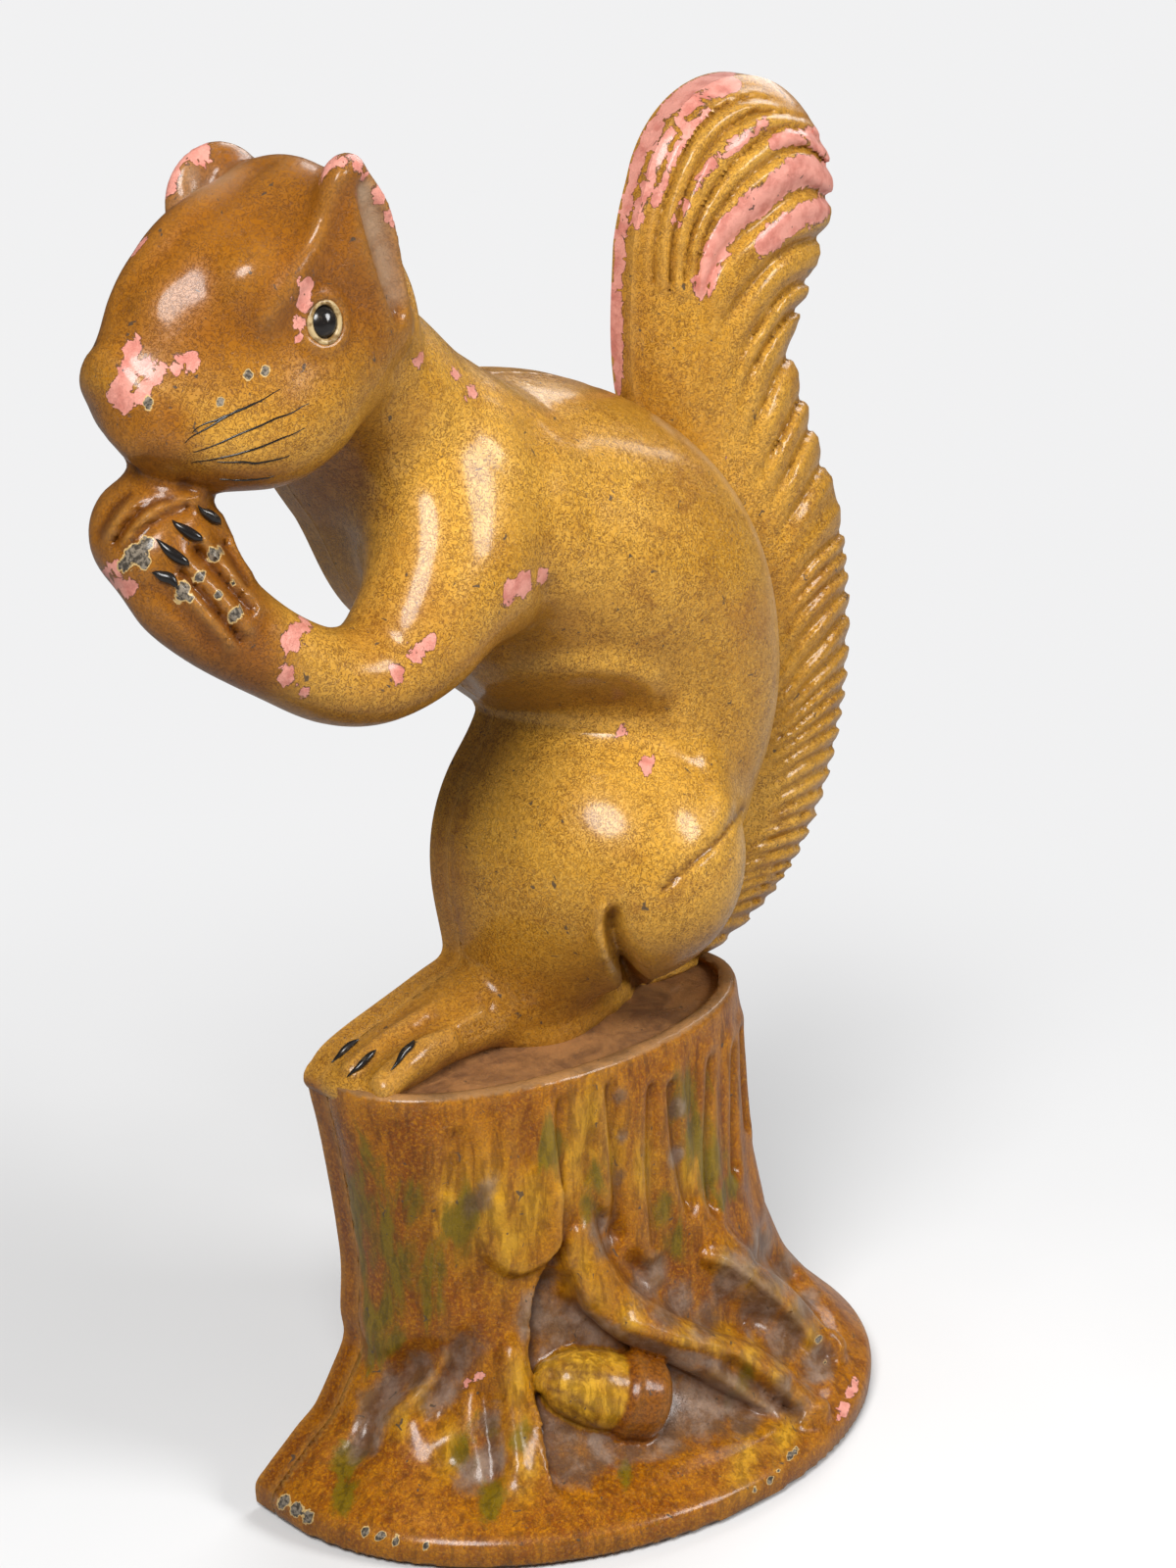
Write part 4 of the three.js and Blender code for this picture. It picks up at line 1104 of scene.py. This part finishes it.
def tube(path, radius, sides=10, loop=False):
    """A tube round a path: circles of the given radii set square to the path, closed at its
    ends, or end to end where the path is a loop."""
    path, radius = np.asarray(path, float), np.asarray(radius, float)
    along = np.roll(path, -1, 0) - np.roll(path, 1, 0) if loop else np.gradient(path, axis=0)
    along /= np.linalg.norm(along, axis=1, keepdims=True)
    a = np.cross(along, [0.3, -0.9, 0.31])
    a /= np.linalg.norm(a, axis=1, keepdims=True)
    b = np.cross(along, a)
    turn = np.linspace(0, 2 * np.pi, sides, endpoint=False)
    ring = a[:, None] * np.cos(turn)[None, :, None] + b[:, None] * np.sin(turn)[None, :, None]
    pts = (path[:, None] + ring * radius[:, None, None]).reshape(-1, 3)
    i, j = np.meshgrid(np.arange(len(path) - (not loop)), np.arange(sides), indexing="ij")
    k, i1 = (j + 1) % sides, (i + 1) % len(path)
    quads = np.stack([i * sides + j, i * sides + k, i1 * sides + k, i1 * sides + j], -1).reshape(-1, 4)
    if not loop:
        c = np.arange(sides // 2 - 1)
        cap = np.stack([c, c + 1, sides - 2 - c, sides - 1 - c], 1)
        quads = np.vstack([quads, cap[:, ::-1], cap + (len(path) - 1) * sides])
    return pts, quads


def join(parts):
    """Several sets of points and faces as one."""
    step = np.cumsum([0] + [len(p) for p, _ in parts])
    return np.vstack([p for p, _ in parts]), np.vstack([f + k for (_, f), k in zip(parts, step)])


def skin_path(ends, count, lift, rounds):
    """A path over the animal's skin between two ends, given as points x, y, z or as points of the
    photograph: the skin along their straight line, lifted, then evened out by means of neighbours.
    Also gives the places along it from 0 to 1."""
    t = np.linspace(0, 1, count)[:, None]
    ends, find = np.array(ends, float), nearest
    if ends.shape[1] == 2:
        ends, find = traced(ends), in_view
    q, n = find(ends[0] * (1 - t) + ends[1] * t)
    q = q + lift * n
    for _ in range(rounds):
        q[1:-1] = (q[:-2] + 2 * q[1:-1] + q[2:]) / 4
    return q, t[:, 0]


# Whiskers and toe claws as two ends x, y, z; finger claws as two points of the photograph.
WHISKERS = (
    ((-110.6, -26, 246.3), (-95.4, -33.7, 253.7)), ((-108.7, -26.7, 244.4), (-90, -34.8, 250.8)),
    ((-108.4, -25.8, 242.6), (-91.3, -35.3, 246.7)), ((-105.6, -28.8, 242.4), (-93.7, -34.4, 242)),
    ((-103.6, -27.5, 238.8), (-95.5, -32.2, 238.4)), ((-109, -27, 248), (-99, -33, 252.4)))
FINGER_CLAWS = (
    ((227, 532), (203, 518)), ((208, 553), (175, 529)), ((194, 579), (158, 547)), ((181, 596), (153, 585)))
TOE_CLAWS = (
    ((-50, 4.8, 103), (-56, 6, 99)), ((-50.5, -1.6, 103), (-57, 0.2, 98.6)),
    ((-44, -6.6, 104.4), (-52, -8.2, 101)))
FINGER_CLAW_RADIUS, TOE_CLAW_RADIUS, CLAW_LIFT = 1.0, 0.75, 0.45
WHISKER_RADIUS, WHISKER_LIFT = 0.17, 0.02


def whisker(ends):
    """A thin line on the skin: a tube whose radius follows most of half a sine."""
    q, t = skin_path(ends, 30, WHISKER_LIFT, 6)
    return tube(q, WHISKER_RADIUS * np.sin(np.pi * (0.08 + 0.86 * t)) + 0.03, 8)


def claw(ends, radius):
    """A drop laid on the skin: a short tube whose radius follows half a sine, fuller toward its base."""
    q, t = skin_path(ends, 16, CLAW_LIFT, 8)
    return tube(q, radius * np.sin(np.pi * t ** 0.8) + 0.05, 14)


# The eye's bead as radius, half depth and how far its middle is sunk; its rim as radius, width and lift.
BEAD_RADIUS, BEAD_HALF, BEAD_SUNK = 3.1, 2.3, 0.9
RIM_RADIUS, RIM_WIDTH, RIM_LIFT = 3.3, 0.6, 0.2


def eye_parts():
    """The bead, an ellipsoid as a tube whose radius follows a half circle, and the rim, a tube round an
    upright oval in the plane of the skin."""
    _, out = nearest(EYE)
    out = out[0]
    flat = np.cross(out, [0, 0, 1.0])
    flat /= np.linalg.norm(flat)
    tall = np.cross(flat, out)
    along = np.linspace(-1, 1, 20)[:, None]
    width = BEAD_RADIUS * np.sqrt(np.clip(1 - along[:, 0] ** 2, 0.0004, 1))
    bead = tube(EYE - BEAD_SUNK * out + BEAD_HALF * out * along, width, 28)
    turn = np.linspace(0, 2 * np.pi, 48, endpoint=False)[:, None]
    oval = np.cos(turn) * flat * 0.92 + np.sin(turn) * tall * 1.08
    rim = tube(EYE + RIM_LIFT * out + RIM_RADIUS * oval, np.full(len(oval), RIM_WIDTH), 10, True)
    return bead, rim


whiskers = [whisker(ends) for ends in WHISKERS]
claws = [claw(ends, FINGER_CLAW_RADIUS) for ends in FINGER_CLAWS]
claws += [claw(ends, TOE_CLAW_RADIUS) for ends in TOE_CLAWS]
bead, rim = eye_parts()
inks = {}
for name, parts in (("whisker_lines", whiskers), ("claws", claws), ("eye_bead", [bead]), ("eye_rim", [rim])):
    piece = make_mesh(name, *join(parts))
    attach(piece, "root")
    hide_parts("front_casting")
    inks[name] = piece


class Paint:
    """Short ways to add nodes to one material."""

    def __init__(self, name):
        self.material = bpy.data.materials.new(name)
        self.material.use_nodes = True
        self.nodes, self.links = self.material.node_tree.nodes, self.material.node_tree.links
        self.shader = self.nodes["Principled BSDF"]
        self.place = self.nodes.new("ShaderNodeTexCoord").outputs["Object"]

    def put(self, socket, value):
        """Links a socket to another, or sets it to a number or a colour."""
        if isinstance(value, bpy.types.NodeSocket):
            self.links.new(value, socket)
        else:
            socket.default_value = (*value, 1.0) if isinstance(value, tuple) else value

    def mask(self, name):
        """The value of one of the piece's masks."""
        node = self.nodes.new("ShaderNodeAttribute")
        node.attribute_name = name
        return node.outputs["Fac"]

    def noise(self, scale, detail=4.0, rough=0.6, warp=0.0, squash=1.0):
        """Noise over the object's own place, drawn out upward where squash is less than 1."""
        node = self.nodes.new("ShaderNodeTexNoise")
        along = self.nodes.new("ShaderNodeMapping")
        along.inputs["Scale"].default_value = (1.0, 1.0, squash)
        self.links.new(self.place, along.inputs["Vector"])
        self.links.new(along.outputs[0], node.inputs["Vector"])
        for key, value in (("Scale", scale), ("Detail", detail), ("Roughness", rough), ("Distortion", warp)):
            node.inputs[key].default_value = value
        return node.outputs["Fac"]

    def math(self, kind, a, b=0.0):
        """One step of arithmetic."""
        node = self.nodes.new("ShaderNodeMath")
        node.operation = kind
        self.put(node.inputs[0], a)
        self.put(node.inputs[1], b)
        return node.outputs[0]

    def ramp(self, value, low, high, bottom=0.0, top=1.0):
        """Goes from bottom at low to top at high along 3t^2 - 2t^3."""
        node = self.nodes.new("ShaderNodeMapRange")
        node.interpolation_type = "SMOOTHSTEP"
        self.put(node.inputs[0], value)
        for i, v in enumerate((low, high, bottom, top)):
            node.inputs[i + 1].default_value = v
        return node.outputs[0]

    def mix(self, amount, a, b):
        """Colour a turned into colour b by an amount."""
        node = self.nodes.new("ShaderNodeMix")
        node.data_type = "RGBA"
        self.put(node.inputs[0], amount)
        self.put(node.inputs[6], a)
        self.put(node.inputs[7], b)
        return node.outputs[2]

    def bump(self, height, strength, depth):
        """Roughens the look of the skin by a height."""
        node = self.nodes.new("ShaderNodeBump")
        self.put(node.inputs["Height"], height)
        node.inputs["Strength"].default_value = strength
        node.inputs["Distance"].default_value = depth
        self.links.new(node.outputs[0], self.shader.inputs["Normal"])

    def times(self, a, b):
        """The product of two values."""
        return self.math("MULTIPLY", a, b)

    def plus(self, a, b):
        """The sum of two values."""
        return self.math("ADD", a, b)

    def less(self, a, b):
        """The first value less the second."""
        return self.math("SUBTRACT", a, b)

    def off_middle(self, a):
        """A noise counted from its middle."""
        return self.less(a, 0.5)


class Speckle:
    """The noises that the coats of paint share, and the net of fine dark lines where a warped noise
    crosses its middle."""

    def __init__(self, m):
        self.fine = m.noise(1300, 4.0, 0.65)
        self.stain = m.noise(85, 6.0, 0.65, 0.7)
        self.broad = m.noise(20, 3.0, 0.5)
        self.streak = m.noise(130, 6.0, 0.65, 0.9, 0.28)
        self.thread = m.noise(520, 4.0, 0.6, 0.6, 0.25)
        worm = m.noise(900, 3.0, 0.6, 1.4)
        self.net = m.ramp(m.math("ABSOLUTE", m.off_middle(worm)), 0.008, 0.055, 1.0, 0.0)


def ochre_coat(m, s):
    """The animal's varnished ochre: two tones by broad noise, pale grains, brown by its mask (the paint's
    own brown and painted shade), then the net, stains and smudges."""
    ochre = m.mix(m.ramp(s.broad, 0.36, 0.64), (0.52, 0.240, 0.018), (0.68, 0.35, 0.045))
    ochre = m.mix(m.times(m.ramp(s.fine, 0.44, 0.64), 0.30), ochre, (0.84, 0.50, 0.10))
    # Brown by its mask: the paint's own brown, and painted shade on the undersides and toward the back.
    brown = m.times(m.mask("brown"), m.ramp(s.broad, 0.3, 0.65, 0.76, 1.0))
    ochre = m.mix(brown, ochre, (0.25, 0.070, 0.002))
    ochre = m.mix(m.times(s.net, m.ramp(s.stain, 0.28, 0.58, 0.38, 0.78)), ochre, (0.105, 0.030, 0.002))
    ochre = m.mix(m.times(m.ramp(s.stain, 0.52, 0.74), 0.52), ochre, (0.22, 0.066, 0.003))
    smudge = m.ramp(m.noise(30, 5.0, 0.6, 0.6), 0.50, 0.72)
    return m.mix(m.times(smudge, 0.40), ochre, (0.34, 0.115, 0.005))


def bark_coat(m, s):
    """The stump's stained bark: streaks and threads that run up it, then gold, moss, violet grey, the
    acorn's brown cap and the deck on top, each by its mask."""
    thread = m.ramp(s.thread, 0.4, 0.6)
    bark = m.mix(m.ramp(s.streak, 0.36, 0.64), (0.23, 0.058, 0.0005), (0.41, 0.138, 0.001))
    bark = m.mix(m.times(m.ramp(s.fine, 0.46, 0.62), 0.50), bark, (0.56, 0.225, 0.003))
    bark = m.mix(m.times(m.ramp(s.thread, 0.48, 0.66), 0.55), bark, (0.090, 0.022, 0.0005))
    bark = m.mix(m.times(s.net, 0.50), bark, (0.12, 0.032, 0.0005))
    gold = m.mix(thread, (0.68, 0.36, 0.020), (0.34, 0.17, 0.004))
    bark = m.mix(m.times(m.mask("gold"), m.ramp(s.streak, 0.32, 0.60, 0.30, 0.95)), bark, gold)
    leaf = m.ramp(m.plus(m.mask("green"), m.times(m.off_middle(s.streak), 2.4)), 0.45, 0.95)
    moss = m.mix(thread, (0.060, 0.062, 0.001), (0.18, 0.130, 0.002))
    bark = m.mix(m.times(leaf, 0.80), bark, moss)
    dusk = m.ramp(m.plus(m.mask("violet"), m.times(m.off_middle(s.stain), 1.5)), 0.42, 0.95)
    grain = m.ramp(m.noise(150, 5.0, 0.65, 0.2), 0.40, 0.66)
    bark = m.mix(m.times(dusk, 0.80), bark, m.mix(grain, (0.11, 0.062, 0.036), (0.28, 0.205, 0.155)))
    cap = m.mix(m.ramp(s.fine, 0.4, 0.6), (0.12, 0.030, 0.001), (0.26, 0.075, 0.002))
    bark = m.mix(m.mask("brown"), bark, cap)
    deck = m.mix(m.ramp(s.stain, 0.4, 0.65), (0.36, 0.175, 0.070), (0.15, 0.075, 0.040))
    return m.mix(m.times(m.mask("deck"), 0.9), bark, deck)


def chipped_paint(name):
    """Ochre and bark over a pink first coat: brown in the grooves as painted shade, pale on crests as
    painted highlight and wear, pale skin of the ears and a painted highlight beside the tail by the pale
    mask, pink chips and bare metal where a mask plus noise passes a level, and dark flecks."""
    m = Paint(name)
    s = Speckle(m)
    colour = m.mix(m.mask("wood"), ochre_coat(m, s), bark_coat(m, s))
    # Painted shade: darker where the groove mask is, in hollows and along narrow grooves, and along the
    # acorn's lines.
    colour = m.mix(m.times(m.mask("groove"), 0.85), colour, (0.10, 0.028, 0.004))
    # Painted highlight and wear: paler on crests.
    colour = m.mix(m.times(m.mask("crest"), 0.25), colour, (0.74, 0.44, 0.13))
    # Paler by the pale mask: pale skin of the ears and a painted highlight beside the tail.
    pale_skin_and_highlight = m.times(m.mask("pale"), m.ramp(s.stain, 0.38, 0.6, 0.95, 0.35))
    colour = m.mix(pale_skin_and_highlight, colour, (0.52, 0.36, 0.23))
    rag = m.times(m.off_middle(m.noise(230, 6.0, 0.62, 0.8)), 2.4)
    level = m.plus(m.less(m.mask("pink"), m.times(m.mask("groove"), 0.7)), rag)
    chip = m.ramp(level, 0.60, 0.63)
    colour = m.mix(m.ramp(level, 0.53, 0.57), colour, (0.13, 0.06, 0.025))
    blush = m.mix(m.ramp(m.noise(260, 5.0), 0.4, 0.7), (0.80, 0.34, 0.265), (0.60, 0.20, 0.15))
    colour = m.mix(chip, colour, blush)
    hurt = m.plus(m.mask("metal"), m.times(rag, 0.6))
    colour = m.mix(m.ramp(hurt, 0.50, 0.54), colour, (0.62, 0.42, 0.17))
    bare = m.ramp(hurt, 0.60, 0.64)
    iron = m.mix(m.ramp(s.fine, 0.4, 0.6), (0.055, 0.045, 0.034), (0.26, 0.215, 0.16))
    colour = m.mix(bare, colour, iron)
    fleck = m.ramp(m.noise(420, 2.0, 0.5, 0.8), 0.71, 0.73)
    colour = m.mix(m.times(fleck, 0.85), colour, (0.07, 0.05, 0.035))
    m.put(m.shader.inputs["Base Color"], colour)
    gloss = m.ramp(m.noise(60, 4.0), 0.3, 0.7, 0.26, 0.42)
    m.put(m.shader.inputs["Roughness"], m.plus(gloss, m.times(chip, 0.16)))
    m.shader.inputs["Coat Weight"].default_value = 0.34
    m.shader.inputs["Coat Roughness"].default_value = 0.16
    m.shader.inputs["Specular IOR Level"].default_value = 0.22
    grain = m.less(m.plus(m.times(s.fine, 0.20), m.times(s.stain, 1.1)), m.times(s.net, 0.42))
    grain = m.less(grain, m.times(m.math("MAXIMUM", chip, bare), 0.9))
    m.bump(grain, 0.6, 0.00026)
    return m.material


def two_tone(name, scale, edges, colours, fine_scale, rough, metal=0.0):
    """A plain finish: noise turns one colour into the other between two edges, and finer noise turns
    one roughness into the other."""
    m = Paint(name)
    m.put(m.shader.inputs["Base Color"], m.mix(m.ramp(m.noise(scale), *edges), *colours))
    m.put(m.shader.inputs["Roughness"], m.ramp(m.noise(fine_scale), 0.3, 0.7, *rough))
    m.shader.inputs["Metallic"].default_value = metal
    return m.material


paint = chipped_paint("chipped_ochre_paint")
for piece in pieces.values():
    piece.data.materials.append(paint)
enamel = two_tone(
    "black_enamel", 500, (0.55, 0.75), ((0.012, 0.010, 0.009), (0.06, 0.045, 0.03)), 300, (0.12, 0.3))
cream = two_tone(
    "worn_cream", 420, (0.42, 0.56), ((0.50, 0.36, 0.17), (0.20, 0.11, 0.03)), 300, (0.25, 0.45))
for name, piece in inks.items():
    piece.data.materials.append(cream if name == "eye_rim" else enamel)
steel = two_tone(
    "worn_screw_steel", 260, (0.45, 0.7), ((0.36, 0.34, 0.31), (0.16, 0.09, 0.05)), 500, (0.32, 0.55), 0.9)
rubber = two_tone(
    "floor_pad_rubber", 350, (0.4, 0.7), ((0.018, 0.017, 0.016), (0.04, 0.038, 0.036)), 700, (0.7, 0.9))
for name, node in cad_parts.items():
    if name.startswith(("screw", "pad")):
        node.data.materials.clear()
        node.data.materials.append(steel if name.startswith("screw") else rubber)


# The floor's half width, and the distances between which it brightens for the camera, in metres.
FLOOR_HALF = 3.0
BRIGHT_FROM, BRIGHT_FULL = 0.10, 0.42


def floor_finish():
    """A pale floor that brightens away from the object for the camera, and is duller to the light that
    bounces from it."""
    m = Paint("pale_floor")
    by_camera = m.nodes.new("ShaderNodeLightPath").outputs["Is Camera Ray"]
    cloth = m.mix(m.ramp(m.noise(3.0), 0.3, 0.7), (0.72, 0.72, 0.72), (0.76, 0.76, 0.76))
    m.put(m.shader.inputs["Base Color"], m.mix(by_camera, (0.34, 0.34, 0.34), cloth))
    m.shader.inputs["Roughness"].default_value = 0.9
    m.shader.inputs["Specular IOR Level"].default_value = 0.1
    span = m.nodes.new("ShaderNodeVectorMath")
    span.operation = "LENGTH"
    m.links.new(m.place, span.inputs[0])
    glow = m.nodes.new("ShaderNodeEmission")
    glow.inputs[0].default_value = (0.88, 0.88, 0.885, 1)
    blend = m.nodes.new("ShaderNodeMixShader")
    m.links.new(m.times(by_camera, m.ramp(span.outputs["Value"], BRIGHT_FROM, BRIGHT_FULL)), blend.inputs[0])
    m.links.new(m.shader.outputs[0], blend.inputs[1])
    m.links.new(glow.outputs[0], blend.inputs[2])
    m.links.new(blend.outputs[0], m.nodes["Material Output"].inputs["Surface"])
    return m.material


corners = [(x * FLOOR_HALF, y * FLOOR_HALF, 0) for x, y in ((-1, -1), (1, -1), (1, 1), (-1, 1))]
ground = bpy.data.meshes.new("floor")
ground.from_pydata(corners, [], [(0, 1, 2, 3)])
ground.materials.append(floor_finish())
floor = bpy.data.objects.new("floor", ground)
bpy.context.scene.collection.objects.link(floor)

# The world's strength for plain, glossy and camera rays.
WORLD_PLAIN, WORLD_GLOSSY, WORLD_CAMERA = 0.17, 0.07, 1.0


def studio_world():
    """An even pale world: glossy rays turn its plain strength into the glossy one, and camera rays turn
    that into the full one."""
    world = bpy.data.worlds.new("studio")
    world.use_nodes = True
    nodes, links = world.node_tree.nodes, world.node_tree.links
    rays = nodes.new("ShaderNodeLightPath").outputs
    glossy, camera = nodes.new("ShaderNodeMapRange"), nodes.new("ShaderNodeMapRange")
    glossy.inputs[3].default_value = WORLD_PLAIN
    glossy.inputs[4].default_value = WORLD_GLOSSY
    camera.inputs[4].default_value = WORLD_CAMERA
    links.new(rays["Is Glossy Ray"], glossy.inputs[0])
    links.new(rays["Is Camera Ray"], camera.inputs[0])
    links.new(glossy.outputs[0], camera.inputs[3])
    links.new(camera.outputs[0], nodes["Background"].inputs[1])
    nodes["Background"].inputs[0].default_value = (0.95, 0.95, 0.96, 1)
    return world


def set_up(name, data, right, up, back, place):
    """A new object in the scene whose axes are right, up and back."""
    obj = bpy.data.objects.new(name, data)
    bpy.context.scene.collection.objects.link(obj)
    rows = np.stack([right, up, back], 1)
    obj.matrix_world = Matrix([[*r, p] for r, p in zip(rows, place)] + [[0, 0, 0, 1]])
    return obj


def lamp(name, place, aim, size, power):
    """A round soft lamp that looks from place to aim."""
    data = bpy.data.lights.new(name, "AREA")
    data.shape = "DISK"
    data.size = size
    data.energy = power
    way = np.array(aim, float) - np.array(place, float)
    back = -way / np.linalg.norm(way)
    right = np.cross([0, 0, 1.0], back)
    right /= np.linalg.norm(right)
    set_up(name, data, right, np.cross(back, right), back, place)


bpy.context.scene.world = studio_world()
lamp("key_lamp", (-0.62, -0.42, 0.85), (0, 0, 0.16), 0.46, 11.5)
lamp("side_lamp", (0.52, -0.88, 0.72), (0, 0, 0.15), 0.45, 8.6)
lamp("back_lamp", (0.75, 0.35, 0.7), (0, 0, 0.15), 0.6, 4.0)

lens = bpy.data.cameras.new("camera")
lens.sensor_width = 36.0
lens.lens = lens.sensor_width * FOCAL / PHOTO_TALL
view = set_up("camera", lens, RIGHT, UPWARD, BACKWARD, (VIEWER + OFFSET) * METRES)
bpy.context.scene.camera = view
bpy.context.scene.view_settings.view_transform = "Standard"
